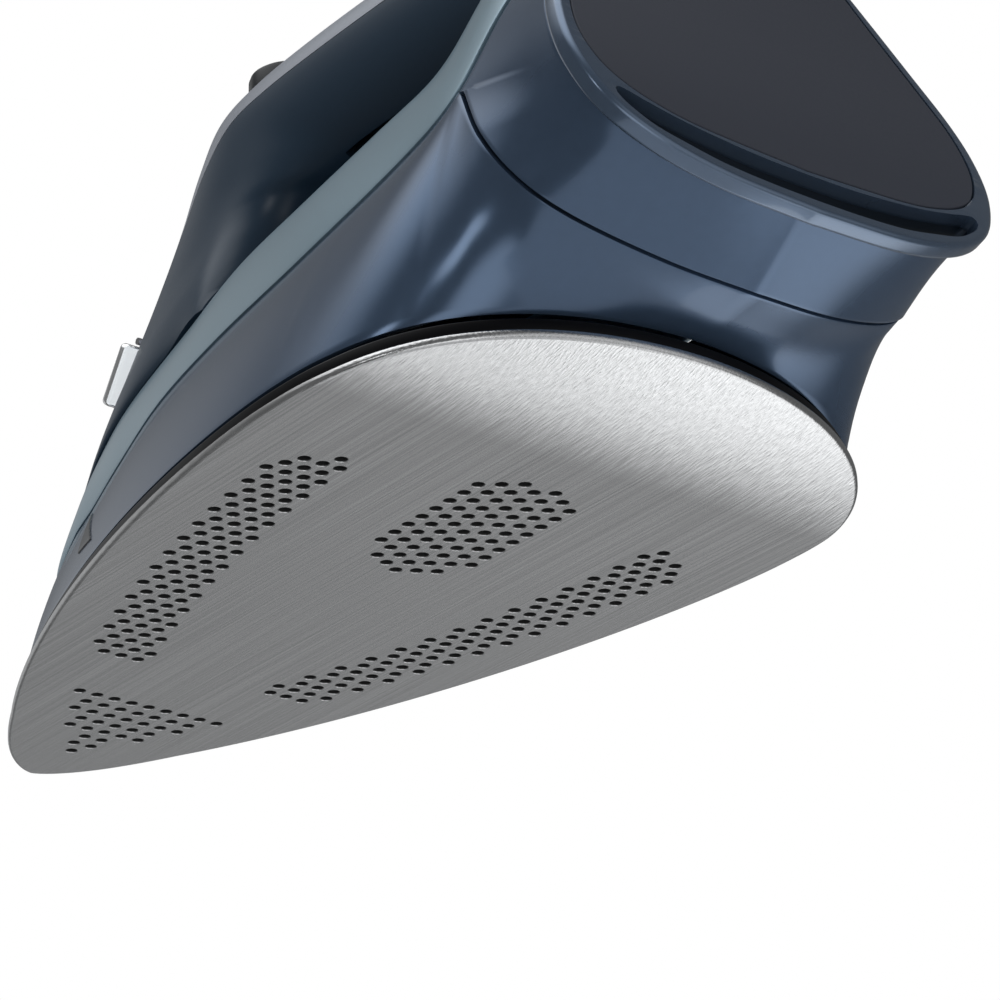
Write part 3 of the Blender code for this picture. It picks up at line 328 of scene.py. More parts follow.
def plate(name, outlines, low, high, material, rounding=0.0, steps=3):
    """A flat piece between two heights: the first outline is the edge, the rest are holes.
    Its edges may be rounded."""
    curve = bpy.data.curves.new(name, "CURVE")
    curve.dimensions = "2D"
    curve.fill_mode = "BOTH"
    curve.extrude = ((high - low) / 2 - rounding) * MM
    curve.bevel_depth = rounding * MM
    curve.bevel_resolution = steps
    curve.offset = -rounding * MM
    for i, outline in enumerate(outlines):
        outline = [tuple(p) for p in outline]
        if (signed_area(outline) < 0) != (i > 0):
            outline = outline[::-1]
        spline = curve.splines.new("POLY")
        spline.points.add(len(outline) - 1)
        for point, (x, y) in zip(spline.points, outline):
            point.co = (x * MM, y * MM, 0.0, 1.0)
        spline.use_cyclic_u = True
    flat = bpy.data.objects.new(name + "_outline", curve)
    bpy.context.scene.collection.objects.link(flat)
    flat.location.z = (low + high) / 2 * MM
    bpy.context.view_layer.update()
    graph = bpy.context.evaluated_depsgraph_get()
    mesh = bpy.data.meshes.new_from_object(flat.evaluated_get(graph))
    mesh.transform(flat.matrix_world)
    bpy.data.objects.remove(flat, do_unlink=True)
    weld(mesh)
    return add_object(name, mesh, material)


def place(obj, origin, direction=(0, 0, 1)):
    """Puts an object's own +Z along a direction, with its origin at a drawing point."""
    turn = Vector((0, 0, 1)).rotation_difference(Vector(direction))
    obj.matrix_world = Matrix.Translation(Vector(origin) * MM) @ turn.to_matrix().to_4x4()
    return obj


def turned(name, profile, origin, material, direction=(0, 0, 1), steps=20):
    """A turned piece: (radius, height) down its outer side, from the top of its axis."""
    mesh = bpy.data.meshes.new(name)
    closed = profile[0] == profile[-1]
    points = [(r * MM, 0.0, z * MM) for r, z in (profile[:-1] if closed else profile)]
    count = len(points)
    edges = [(i, (i + 1) % count) for i in range(count if closed else count - 1)]
    mesh.from_pydata(points, edges, [])
    obj = add_object(name, mesh, material)
    spin = obj.modifiers.new("spin", "SCREW")
    spin.steps = steps
    spin.render_steps = steps
    spin.use_merge_vertices = True
    spin.merge_threshold = 0.00001
    spin.use_smooth_shade = True
    return place(obj, origin, direction)


def rod(radius, low, high):
    """The profile of a plain round bar."""
    return [(0, high), (radius, high), (radius, low), (0, low)]


def block(name, size, centre, material, bevel=0.8, direction=(0, 0, 1)):
    mesh = bpy.data.meshes.new(name)
    work = bmesh.new()
    bmesh.ops.create_cube(work, size=1.0)
    bmesh.ops.scale(work, vec=Vector(size) * MM, verts=work.verts)
    work.to_mesh(mesh)
    work.free()
    obj = add_object(name, mesh, material)
    if bevel:
        edge = obj.modifiers.new("edge", "BEVEL")
        edge.width = bevel * MM
        edge.segments = 1
    return place(obj, centre, direction)


# ---------------------------------------------------------------- the sole's outline
def sole_point(u):
    """Left edge of the sole, from the tip at u = 0 to the middle of the rear at u = 1."""
    if u < FRONT_SHARE:
        turn = u / FRONT_SHARE * math.pi / 2
        x = WIDEST_X + (TIP_X - WIDEST_X) * max(math.cos(turn), 0.0) ** 1.25
        blunt = TIP_BLUNT * math.sin(math.pi * min(2 * turn, 1.0))
        return x, DRAWN_WIDTH / 2 * math.sin(turn) ** 1.44 + blunt
    turn = (1 - u) / (1 - FRONT_SHARE) * math.pi / 2
    x = WIDEST_X + (REAR_X - WIDEST_X) * max(math.cos(turn), 0.0) ** (2 / 3)
    return x, DRAWN_WIDTH / 2 * math.sin(turn)


def inset(u, depth):
    """The same edge, moved inward by a depth."""
    step = 0.004
    ahead = np.array(sole_point(min(u + step, 1.0)))
    behind = np.array(sole_point(max(u - step, 0.0)))
    if u - step < 0:
        behind = np.array(sole_point(step)) * (1, -1)
    if u + step > 1:
        ahead = np.array(sole_point(1 - step)) * (1, -1)
    run = ahead - behind
    normal = np.array([run[1], -run[0]]) / np.hypot(*run)
    return np.array(sole_point(u)) - depth * normal


def whole_outline(left):
    """A left half from nose to rear, with its mirror image, as one closed outline."""
    left = [tuple(p) for p in left]
    right = [(x, -y) for x, y in left[::-1] if abs(y) > 1e-6]
    return left + right


def rise(x):
    """How far the sole lies above its own flat at x."""
    return BEND_RISE * (max(BEND_X - x, 0.0) / (BEND_X - REAR_X)) ** 1.8


def samples(low, high, count):
    return np.linspace(low, high, count)


def crease_flats(mesh, bend_stations=()):
    """Keeps the large flat faces flat against their rounded edges, and lifts the rear."""
    work = bmesh.new()
    work.from_mesh(mesh)
    for x in bend_stations:
        geometry = work.verts[:] + work.edges[:] + work.faces[:]
        bmesh.ops.bisect_plane(
            work, geom=geometry, dist=1e-7, plane_co=(x * MM, 0, 0), plane_no=(1, 0, 0)
        )
    flats = {f.index for f in work.faces}
    work.faces.index_update()
    flats = {f for f in work.faces if abs(f.normal.z) > 0.9995}
    for face in work.faces:
        face.smooth = True
    for edge in work.edges:
        sides = [f in flats for f in edge.link_faces]
        edge.smooth = len(set(sides)) == 1
    if bend_stations:
        for vert in work.verts:
            vert.co.z += rise(vert.co.x / MM) * MM
    work.to_mesh(mesh)
    work.free()
    return mesh


# ---------------------------------------------------------------- the steam holes
def middle_field():
    """A patch of holes round the middle of the sole."""
    spans = {0: (-4, 6), 1: (-5, 5), 2: (-5, 4), 3: (-5, 2)}
    for row in range(-3, 4):
        first, last = spans[abs(row)]
        for i in range(first, last + 1):
            yield -41.6 + PITCH * (i + 0.56 * abs(row)), 3.45 * row


def front_field():
    """A triangle of holes that narrows to the tip."""
    for row, count in enumerate((9, 7, 7, 5, 5, 2, 2, 1)):
        for i in range(count):
            yield 70.6 + 4.3 * row, 4.1 * (i - (count - 1) / 2)


def side_fields():
    """Two curved arms of holes that follow the sole's edges, seven holes across."""
    spans = {-3: (-2, 0), -2: (-4, 1), 10: (7, 12), 11: (8, 11), 12: (9, 10)}
    for row in range(-3, 13):
        first, last = spans.get(row, (row - 3, row + 3))
        for i in range(first, last + 1):
            x = -30.2 + 3.43 * row + 3.47 * i + 0.0085 * (row + i) ** 2
            y = 38.6 - 2.37 * row + 1.52 * i - 0.08 * row * i
            yield x, y
            yield x, -y


def steam_holes():
    for field in (middle_field(), front_field(), side_fields()):
        yield from field


def hole_outline(x, y, radius, sides):
    start = math.pi / sides
    turns = [start + 2 * math.pi * k / sides for k in range(sides)]
    return [(x + radius * math.cos(a), y + radius * math.sin(a)) for a in turns]


# ---------------------------------------------------------------- the body's edge curves
# Lower and upper edge of the light band, from the nose to the heel frame.
BAND_LOW = [
    (0, 99.0, 0.0, 32.4), (1, 95.0, 8.0, 32.9), (2, 80.0, 13.5, 37.3), (3, 66.0, 17.3, 38.6),
    (4, 48.0, 22.0, 41.0), (5, 24.0, 28.0, 43.2), (6, -6.0, 34.0, 43.3), (7, -42.0, 40.0, 42.6),
    (8, -76.0, 42.0, 46.8), (9, -93.0, 43.0, 51.0), (10, -103.0, 40.5, 63.5),
    (11, -109.0, 37.6, 72.0), (12, -113.2, 35.2, 79.6),
]
BAND_HIGH = [
    (0, 96.6, 0.0, 35.6), (1, 92.5, 7.6, 37.5), (2, 77.0, 12.0, 48.5), (3, 65.0, 14.8, 54.0),
    (4, 50.0, 18.0, 57.0), (5, 24.0, 22.2, 60.3), (6, -3.0, 27.6, 62.0), (7, -31.0, 31.6, 62.3),
    (8, -57.0, 33.0, 65.0), (9, -78.0, 35.0, 66.5), (10, -88.5, 33.5, 76.0),
    (11, -97.0, 30.0, 90.0), (12, -106.4, 26.2, 98.0),
]
# Seam between lower body and rear cover, from the band down to the middle of the rear.
SEAM = [
    (0.75, -95.5, 43.2, 51.8), (0.80, -104.5, 46.0, 37.5), (0.86, -111.6, 43.0, 26.3),
    (0.90, -115.0, 34.5, 20.6), (0.95, -119.3, 18.0, 15.4), (1.0, -121.0, 0.0, 13.8),
]
# Which point of the band's lower edge stands above each point of the sole's edge.
BAND_OVER_SOLE = [
    (0, 0), (0.1, 1), (0.2, 2), (0.3, 3.65), (0.4, 5.15), (0.5, 6.33), (0.62, 7.55), (0.7, 8.5),
    (0.75, 9.15),
]
# Half width of the heel against height.
HEEL_OUTLINE = [
    (0, 0.0, 21.8), (1, 20.0, 22.9), (2, 33.6, 26.4), (3, 42.6, 32.4), (4, 47.0, 41.4),
    (5, 47.4, 50.5), (6, 45.0, 59.5), (7, 39.5, 70.5), (8, 33.0, 83.0), (9, 26.0, 96.0),
    (10, 19.5, 107.0), (11, 11.5, 115.0), (12, 0.0, 118.5),
]


def body_top(u):
    """Upper edge of the lower body over the sole's point u."""
    if u <= SEAM[0][0]:
        point = along(BAND_LOW, float(along(BAND_OVER_SOLE, u)[0]))
        return point - (0, 0, 1.6 * GAP)
    return along(SEAM, u)


# How far the lower body's wall swells outward and upward half way up, along the sole's edge.
SWELL = [
    (0, 1.2, 0.0), (0.6, 1.4, 0.0), (0.72, 3.0, 0.0), (0.82, 2.2, 0.4), (0.92, 0.6, 0.6),
    (1.0, 0.0, 0.1),
]


def body_rib(u, v):
    """A point of the lower body's wall: v = 0 at the sole, 1 at its upper edge."""
    x, y = inset(u, 1.2 + min(u / 0.2, 1.0))
    low = np.array([x, y, BODY_LOW + rise(x)])
    outward = low[:2] - inset(u, 4.0)
    outward = outward / np.hypot(*outward)
    out, up = along(SWELL, u)
    wide, high = 4 * v * (1 - v), 6.75 * v * (1 - v) ** 2
    return low + (body_top(u) - low) * v + np.array([*(outward * out * wide), up * high])


def heel_x(z, depth=0.0):
    """x on the heel plane, or a depth in front of it."""
    return HEEL_X0 + HEEL_SLOPE * z + depth / math.cos(HEEL_TILT)


def heel_point(s, margin, depth):
    """A point of the heel's outline, pulled in by a margin, a depth ahead of the plane."""
    w, z = along(HEEL_OUTLINE, s)
    ahead = along(HEEL_OUTLINE, min(s + 0.05, 12))
    behind = along(HEEL_OUTLINE, max(s - 0.05, 0))
    run = ahead - behind
    length = np.hypot(*run)
    w, z = w - margin * run[1] / length, z + margin * run[0] / length
    return np.array([heel_x(z, depth), max(w, 0.0) if 0 < s < 12 else 0.0, z])


BEND_STATIONS = tuple(samples(BEND_X, REAR_X - 1, 40))


# The rounded edge of the sole, from its face to its back: inset, height.
SOLE_EDGE = ((0.62, 0.0), (0.40, 0.05), (0.20, 0.18), (0.06, 0.38), (0.0, 0.62), (0.0, 1.25),
             (0.10, 1.48), (0.32, SOLE_SHEET))
# The countersunk wall of a steam hole, from the face inward: radius, height.
HOLE_EDGE = ((1.32, 0.0), (1.27, 0.04), (1.20, 0.14), (1.16, 0.26), (1.13, 0.45), (1.12, SOLE_SHEET))
# Between these depths, from the face and from the back of the sheet, the walls carry painted shade.
HOLE_SHADE_FACE = 0.16
HOLE_SHADE_BACK = 0.05


def fill_points(outlines, height):
    """The triangles that fill an outline round its holes, as point triples at a height."""
    curve = bpy.data.curves.new("fill", "CURVE")
    curve.dimensions = "2D"
    curve.fill_mode = "BOTH"
    for outline in outlines:
        spline = curve.splines.new("POLY")
        spline.points.add(len(outline) - 1)
        for point, (x, y) in zip(spline.points, outline):
            point.co = (x * MM, y * MM, 0.0, 1.0)
        spline.use_cyclic_u = True
    flat = bpy.data.objects.new("fill", curve)
    bpy.context.scene.collection.objects.link(flat)
    bpy.context.view_layer.update()
    graph = bpy.context.evaluated_depsgraph_get()
    mesh = bpy.data.meshes.new_from_object(flat.evaluated_get(graph))
    points = [(v.co.x, v.co.y, height * MM) for v in mesh.vertices]
    faces = [tuple(f.vertices) for f in mesh.polygons]
    bpy.data.objects.remove(flat, do_unlink=True)
    return points, faces


def wall_between(low, high):
    """The faces between two outlines of equal length, as points and faces."""
    count = len(low)
    points = [tuple(c * MM for c in p) for p in low + high]
    return points, [(k, (k + 1) % count, count + (k + 1) % count, count + k) for k in range(count)]


def paint_hole_shade(mesh, centres):
    """Paints shade onto the holes' walls behind the polished rim, and leaves the sole's faces."""
    # The near-black sheath material stands in for the shade inside each hole.
    mesh.materials.append(MATERIALS["element_sheath"])
    for polygon in mesh.polygons:
        x, y, z = polygon.center
        if HOLE_SHADE_FACE * MM < z < (SOLE_SHEET - HOLE_SHADE_BACK) * MM:
            if np.hypot(*(centres - (x, y)).T).min() < HOLE_EDGE[0][0] * MM:
                polygon.material_index = 1


def make_sole():
    centres = list(steam_holes())
    edges = [
        [(*p, z) for p in whole_outline([inset(u, d) for u in samples(0, 1, 220)])]
        for d, z in SOLE_EDGE
    ]
    holes = [
        [[(*p, z) for p in hole_outline(x, y, r, HOLE_SIDES)] for r, z in HOLE_EDGE]
        for x, y in centres
    ]
    parts = []
    for level in (0, -1):
        outlines = [[p[:2] for p in edges[level]]] + [[p[:2] for p in hole[level]] for hole in holes]
        parts.append(fill_points(outlines, 0.0 if level == 0 else SOLE_SHEET))
    for rings in (edges, *holes):
        parts += [wall_between(low, high) for low, high in zip(rings, rings[1:])]
    points, faces = [], []
    for new_points, new_faces in parts:
        faces += [tuple(i + len(points) for i in face) for face in new_faces]
        points += new_points
    mesh = bpy.data.meshes.new("sole_plate")
    mesh.from_pydata(points, [], faces)
    sole = add_object("sole_plate", weld(mesh), "brushed_steel")
    crease_flats(sole.data, BEND_STATIONS)
    settle(sole, "iron_body", "brushed_steel", 0)
    # The holes' walls get painted shade.
    paint_hole_shade(sole.data, np.array(centres) * MM)


def casting_outline(depth, rear):
    """The sole's outline inset by a depth and squared off behind."""
    edge = np.array([sole_point(u) for u in samples(0, 1, 200)])
    points = [inset(u, depth) for u in samples(0.02, 0.64, 24)]
    left = [
        p for p in points
        if np.hypot(*(edge - p).T).min() > depth - 0.1 and p[1] > 1.0 and p[0] > rear + 4
    ]
    nose = (left[0][0] + 0.4 * left[0][1], 0.0)
    width = left[-1][1]
    return whole_outline([nose, *left, (rear + 4, width), (rear, width - 4), (rear, 0.0)])


def make_heat_shield():
    edge = whole_outline([inset(u, 1.3) for u in samples(0, 1, 200)])
    shield = plate(
        "heat_shield", [edge, casting_outline(6.4, -70.8)], SKIRT_LOW, SKIRT_HIGH, "black_shield", 0.4
    )
    crease_flats(shield.data, BEND_STATIONS)
    return settle(shield, "iron_body", "black_shield", 0)


# ---------------------------------------------------------------- body shells
def make_lower_body():
    left = [[body_rib(u, v) for v in samples(0, 1, 25)] for u in samples(0, 1, 161)]
    right = [[p * (1, -1, 1) for p in row] for row in left[-2:0:-1]]
    body = sheet("lower_body", left + right, "body_blue", WALL, closed=True, inward=(-10, 0, 25))
    return settle(soften(body, 0.25), "iron_body", "body_blue")


def rear_rib(s, v):
    """A point of the rear cover: s runs up from the middle of the rear, v back to the heel."""
    if s < 0.55:
        front = along(SEAM, 1 - s / 0.55 * 0.25) + (-2.6 * GAP, 0, 0)
    else:
        step = 9.1 + (s - 0.55) / 0.45 * 2.35
        front = along(BAND_LOW, step) + (-2.6 * GAP, 0, -GAP)
    back = heel_point(s * 7.45, 1.2, FRAME_THICK + GAP)
    return front + (back - front) * v


def make_rear_cover():
    left = [[rear_rib(s, v) for v in samples(0, 1, 25)] for s in samples(1, 0, 121)]
    right = [[p * (1, -1, 1) for p in row] for row in left[-2::-1]]
    cover = sheet("rear_cover", left + right, "body_blue", WALL, inward=(-60, 0, 60))
    return settle(soften(cover, 0.25), "iron_body", "body_blue")


def band_rib(s, v):
    low, high = along(BAND_LOW, s), along(BAND_HIGH, s) - (0, 0, 0.5)
    point = low + (high - low) * v
    return point + np.array([0.0, 1.0 if s > 0.5 else 0.0, 0.0]) * 1.0 * 4 * v * (1 - v)


def make_side_band():
    left = [[band_rib(s, v) for v in samples(0, 1, 17)] for s in samples(12, 0, 161)]
    right = [[p * (1, -1, 1) for p in row] for row in left[-2::-1]]
    band = sheet("side_band", left + right, "band_blue", 1.8, inward=(-10, 0, 45))
    return settle(soften(band, 0.25), "iron_body", "band_blue")


DECK_EDGE = [
    (0, 12.6, 21.6, 60.4), (1, -3.0, 25.0, 61.3), (2, -31.0, 29.0, 61.6), (3, -57.0, 30.4, 64.2),
    (4, -77.0, 32.0, 66.0), (5, -84.4, 31.0, 72.8), (6, -88.0, 29.8, 79.0), (7, -90.0, 28.8, 83.6),
]
DECK_MIDDLE = [
    (0, 12.6, 0.0, 58.5), (1, -3.0, 0.0, 57.0), (2, -31.0, 0.0, 56.5), (3, -57.0, 0.0, 57.0),
    (4, -72.0, 0.0, 59.5), (5, -80.0, 0.0, 67.0), (6, -83.0, 0.0, 76.0), (7, -84.5, 0.0, 83.8),
]


def deck_point(t, across):
    edge, middle = along(DECK_EDGE, t), along(DECK_MIDDLE, t)
    share = across * across
    point = middle + (edge - middle) * share
    point[1] = edge[1] * across
    return point


def make_deck():
    grid = [[deck_point(t, a) for a in samples(1, -1, 41)] for t in samples(0, 7, 71)]
    deck = sheet("deck_cover", grid, "handle_navy", WALL, inward=(-40, 0, 20))
    well = turned("dial_well", rod(4.2, 40, 70), (DIAL_X, 0, 0), "brass", steps=48)
    cut(deck, as_cutter(well))
    return settle(deck, "iron_body", "handle_navy")


# ---------------------------------------------------------------- the handle
# Each ring: t, outer x, outer z, inner x, inner z, half width, widest at, front and rear power,
# bow of the ring, share of the ring under the top cover.
HANDLE_RINGS = [
    (0, 96.0, 36.9, 14.2, 61.2, 23.0, 0.93, 1.35, 6.0, 7.5, 0.10),
    (1, 84.5, 51.0, 10.0, 72.0, 20.5, 0.85, 1.5, 3.0, 5.0, 0.12),
    (2, 74.5, 66.0, 5.0, 80.5, 18.0, 0.75, 1.7, 2.4, 3.0, 0.14),
    (3, 64.0, 80.5, -1.0, 85.5, 16.5, 0.65, 1.9, 2.2, 1.5, 0.17),
    (4, 54.0, 96.0, -7.0, 87.3, 15.6, 0.60, 2.1, 2.2, 0.0, 0.20),
    (5, 46.0, 108.5, -12.0, 88.0, 15.2, 0.55, 2.3, 2.2, 0.0, 0.25),
    (6, 37.0, 117.5, -17.0, 88.0, 15.0, 0.50, 2.4, 2.2, 0.0, 0.30),
    (7, 22.0, 121.0, -23.0, 88.0, 15.0, 0.48, 2.4, 2.2, 0.0, 0.33),
    (8, 0.0, 122.0, -31.0, 88.0, 15.0, 0.46, 2.4, 2.2, 0.0, 0.34),
    (9, -24.0, 122.0, -41.0, 88.0, 15.0, 0.46, 2.4, 2.2, 0.0, 0.34),
    (10, -46.0, 121.5, -52.0, 88.0, 15.0, 0.46, 2.4, 2.2, 0.0, 0.34),
    (11, -66.0, 120.5, -64.0, 87.6, 15.2, 0.48, 2.4, 2.2, 0.0, 0.34),
    (12, -80.0, 119.8, -76.5, 86.8, 17.0, 0.58, 2.2, 2.6, 0.0, 0.34),
    (13, -87.0, 119.2, -85.0, 86.0, 22.0, 0.75, 1.7, 4.0, 0.0, 0.34),
    (14, -93.0, 118.6, -93.5, 86.0, 29.0, 0.88, 1.35, 6.0, 0.0, 0.32),
    (15, -99.9, 116.8, -107.4, 95.4, 25.0, 0.90, 1.6, 6.0, 0.0, 0.34),
]
BAND_TOP = np.array([along(BAND_HIGH, s) for s in np.linspace(5.5, 0, 56)])


def ring_point(t, a, side):
    """A point of the handle's skin: a = 0 on the outer ridge, 1 on the inner one."""
    ox, oz, ix, iz, width, widest, front, rear, bow, _ = along(HANDLE_RINGS, t)
    run = np.array([ix - ox, iz - oz])
    length = np.hypot(*run)
    across = np.array([-run[1], run[0]]) / length
    if a < widest:
        share = 1 - ((widest - a) / widest) ** front
    else:
        share = 1 - ((a - widest) / (1 - widest)) ** rear
    w = width * math.sqrt(max(share, 0.0))
    lift = bow * (4 * max(a * (1 - a), 0.0)) ** 0.7
    x, z = np.array([ox, oz]) + run * a - across * lift
    if t < 1:
        low_w, low_z = ring_point_on_band(x)
        share = (1 - t) ** 2 * min((1 - a) / 0.2, 1.0)
        w += (low_w - w) * share
        z += (low_z - z) * share
    return np.array([x, side * w, z])


def ring_point_on_band(x):
    """Where the handle's skin meets the band's upper edge: across, and height."""
    w = np.interp(x, BAND_TOP[:, 0], BAND_TOP[:, 1])
    z = np.interp(x, BAND_TOP[:, 0], BAND_TOP[:, 2])
    return w - 0.15, z + 0.2


def sunk_point(t, a, depth):
    """A point of the left skin, moved inward along the skin's normal."""
    point = ring_point(t, a, 1)
    last = HANDLE_RINGS[-1][0]
    run = ring_point(min(t + 0.05, last), a, 1) - ring_point(max(t - 0.05, 0), a, 1)
    round_ring = ring_point(t, a + 0.004, 1) - ring_point(t, max(a - 0.004, 0.0), 1)
    if a < 0.001:
        round_ring = np.array([0.0, 1.0, 0.0])
    normal = np.cross(run, round_ring)
    normal = normal / np.linalg.norm(normal)
    if normal @ (point - ring_point(t, 0.45, 0)) < 0:
        normal = -normal
    return point - normal * depth


def ring_shares(t, parts_in, parts_out):
    """Where a ring is sampled: under the top cover, then round the open side."""
    seam = float(along(HANDLE_RINGS, t)[9])
    covered = [seam * math.sin(f * math.pi / 2) ** 2 for f in samples(0, 1, parts_in + 1)]
    bare = [
        seam + (1 - seam) * (1 - math.cos(f * math.pi)) / 2 for f in samples(0, 1, parts_out + 1)
    ]
    return covered, bare


def make_handle_body():
    rings = []
    for t in samples(0, 15, 151):
        covered, bare = ring_shares(t, 8, 24)
        deep = COVER_THICK + GAP
        left = [sunk_point(t, a, deep) for a in covered]
        left += [ring_point(t, a, 1) for a in [bare[0] + 0.006, *bare[1:]]]
        right = [p * (1, -1, 1) for p in left[-2:0:-1]]
        rings.append(left + right)
    handle = loft("handle_body", rings, "handle_navy", ridged=True)
    handle.data.transform(Matrix.Scale(1 / FINE, 4))
    handle.scale = (FINE, FINE, FINE)
    cut(handle, *handle_pockets(), solver="MANIFOLD")
    return settle(handle, "iron_body", "handle_navy")


SHIFT = Vector((0.0, 0.11, 0.0))    # keeps a cutter's corners off the plane of symmetry


def handle_pockets():
    """Everything that is hollowed out of the handle."""
    def bore(name, profile, origin, direction=(0, 0, 1), steps=16):
        return as_cutter(turned(name, profile, origin, "brass", direction, steps))

    yield bore("button_well", rod(BUTTON_R + 0.8, 112, 130), (BUTTON_X, 0, 0))
    yield bore("pump_bore", rod(7.0, 84, 113), (BUTTON_X, 0, 0))
    yield bore("nozzle_well", rod(4.05, -6.4, 9), Vector(NOZZLE_AT) + SHIFT, NOZZLE_AIM, 13)
    yield as_cutter(block("selector_well", (26, 9, 20), (SELECTOR_X - 5, 0, 118), "brass", 0))
    low, high = TRIGGER_X
    middle = (low + high) / 2
    size = (high - low + 1.3, 15.2, 13.3)
    yield as_cutter(block("trigger_well", size, (middle + 0.07, 0.06, 89.2), "brass", 0))
    yield bore("gland_well", rod(8.4, -14, 20), (GLAND_X, 0, 114), (-0.5, 0, 0.866))
    yield bore("lamp_well", rod(3.6, 112, 130), (-46, 0, 0), steps=12)
    yield bore("port_bore", rod(6.8, -26, -6), (66.7, 0.0, 75.2), (0.62, 0, 0.785), 15)
    yield bore("port_seat", rod(6.9, -10, 1), DOOR_AT, DOOR_OUT, 17)
    yield as_cutter(door_recess("door_recess"))


def make_top_cover():
    grid = []
    for t in samples(1, 14.9, 141):
        covered, _ = ring_shares(t, 12, 7)
        left = [ring_point(t, a * 0.985, 1) for a in covered[::-1]]
        grid.append(left + [p * (1, -1, 1) for p in left[-2::-1]])
    return sheet("handle_top_cover", grid, "cover_grey", COVER_THICK - 0.8, inward=(0, 0, 90))


def make_cover_openings(cover):
    """Holes in the handle's top cover for what stands through it."""
    def hole(name, radius, origin, direction=(0, 0, 1), steps=20):
        return as_cutter(turned(name, rod(radius, -9, 9), origin, "brass", direction, steps))

    cut(cover, hole("cover_button_hole", BUTTON_R + 0.5, (BUTTON_X, 0, 119)))
    slot_at = (SELECTOR_X - 5, 0, 121)
    cut(cover, as_cutter(block("cover_selector_slot", (21, 3.2, 12), slot_at, "brass", 0)))
    cut(cover, hole("cover_gland_hole", 8.0, (GLAND_X - 1.5, 0, 117), (-0.5, 0, 0.866)))
    cut(cover, hole("cover_lamp_hole", 3.2, (-46, 0, 121), steps=12))
    cut(cover, as_cutter(door_recess("cover_door_recess")))
    cut(cover, hole("cover_port_hole", 7.0, DOOR_AT, DOOR_OUT, 17))
    cut(cover, hole("cover_nozzle_hole", 4.2, NOZZLE_AT, NOZZLE_AIM, 12))


# ---------------------------------------------------------------- heel
def tilt_plate(obj, depth):
    """Stands a flat piece on the heel plane, its outer face a depth in front of it."""
    turn = Matrix(((0, 0, -1, 0), (-1, 0, 0, 0), (0, 1, 0, 0), (0, 0, 0, 1)))
    lean = Matrix.Rotation(HEEL_TILT, 4, "Y")
    shift = Matrix.Translation(Vector((heel_x(0.0, depth), 0, 0)) * MM)
    obj.data.transform(shift @ lean @ turn)
    start = obj.data.vertices[0].co
    if sum(p.area * p.normal.dot(p.center - start) for p in obj.data.polygons) < 0:
        obj.data.flip_normals()
    return obj


def heel_outline(margin, low=None, count=37):
    """The heel's outline in its own plane: across, and up along the slope."""
    points = []
    for s in samples(0, 12, count):
        _, w, z = heel_point(s, margin, 0.0)
        points.append((w, z / math.cos(HEEL_TILT)))
    return whole_heel(points)


def whole_heel(right):
    return right + [(-w, z) for w, z in right[::-1] if w > 1e-6]


# Half outline of the grey panel: across, and height on the heel.
PANEL_OUTLINE = [
    (0, 0.0, 31.3), (1, 22.0, 32.6), (2, 32.0, 34.6), (3, 38.6, 37.6), (4, 42.4, 41.6),
    (5, 44.3, 48.0), (6, 43.0, 56.5), (7, 38.8, 65.5), (8, 32.0, 79.0), (9, 25.5, 92.5),
    (10, 18.5, 104.0), (11, 10.5, 111.5), (12, 0.0, 114.6),
]
# Half outline of the grip slot below the panel: across, lower and upper height on the heel.
SLOT_EDGES = [
    (0, 24.2, 30.2), (10, 24.4, 30.4), (20, 25.2, 31.3), (28, 26.9, 32.5), (34, 28.6, 33.9),
    (38, 31.0, 35.0), (39.6, 32.4, 35.2), (40.4, 33.6, 34.6),
]


def panel_outline(margin, count=34):
    points = []
    for s in samples(0, 12, count):
        w, z = along(PANEL_OUTLINE, s)
        run = along(PANEL_OUTLINE, min(s + 0.05, 12)) - along(PANEL_OUTLINE, max(s - 0.05, 0))
        w, z = w - margin * run[1] / np.hypot(*run), z + margin * run[0] / np.hypot(*run)
        points.append((w if 0 < s < 12 else 0.0, z / math.cos(HEEL_TILT)))
    return whole_heel(points)


def slot_outline(margin=0.0, count=21):
    """The long curved grip slot between the panel and the heel's lower rim."""
    lower, upper = [], []
    end = SLOT_EDGES[-1][0]
    for f in samples(-1, 1, count):
        w = end * math.sin(f * math.pi / 2)
        low, high = along(SLOT_EDGES, abs(w))
        w *= 1 - margin / end
        lower.append((w, (low + margin) / math.cos(HEEL_TILT)))
        upper.append((w, (high - margin) / math.cos(HEEL_TILT)))
    return lower + upper[::-1]


SLOT_DEPTH = 3.2
PAD_THICK = 0.5


def make_heel():
    frame_piece = plate(
        "heel_frame", [heel_outline(0, count=181)], -FRAME_THICK, 0.0, "frame_blue", 1.1, 5
    )
    tilt_plate(frame_piece, 0.0)
    pocket = plate("panel_pocket", [panel_outline(-0.4, 181)], -PANEL_THICK - GAP, 3.0, "brass")
    slot = plate("slot_pocket", [slot_outline(0.0, 121)], -SLOT_DEPTH, 3.0, "brass")
    cut(frame_piece, as_cutter(tilt_plate(pocket, 0.0)), as_cutter(tilt_plate(slot, 0.0)))
    soften(frame_piece, 0.3, 2, 60)
    settle(frame_piece, "iron_body", "frame_blue", 30)
    panel = plate("heel_panel", [panel_outline(0, 181)], -PANEL_THICK, 0.0, "heel_grey", 0.25, 2)
    settle(tilt_plate(panel, 0.0), "iron_body", "heel_grey", 30)
    low = -SLOT_DEPTH + 0.1
    pad = plate("heel_slot_pad", [slot_outline(0.35, 121)], low, low + PAD_THICK, "button_black")
    settle(tilt_plate(pad, 0.0), "iron_body", "button_black", 30)


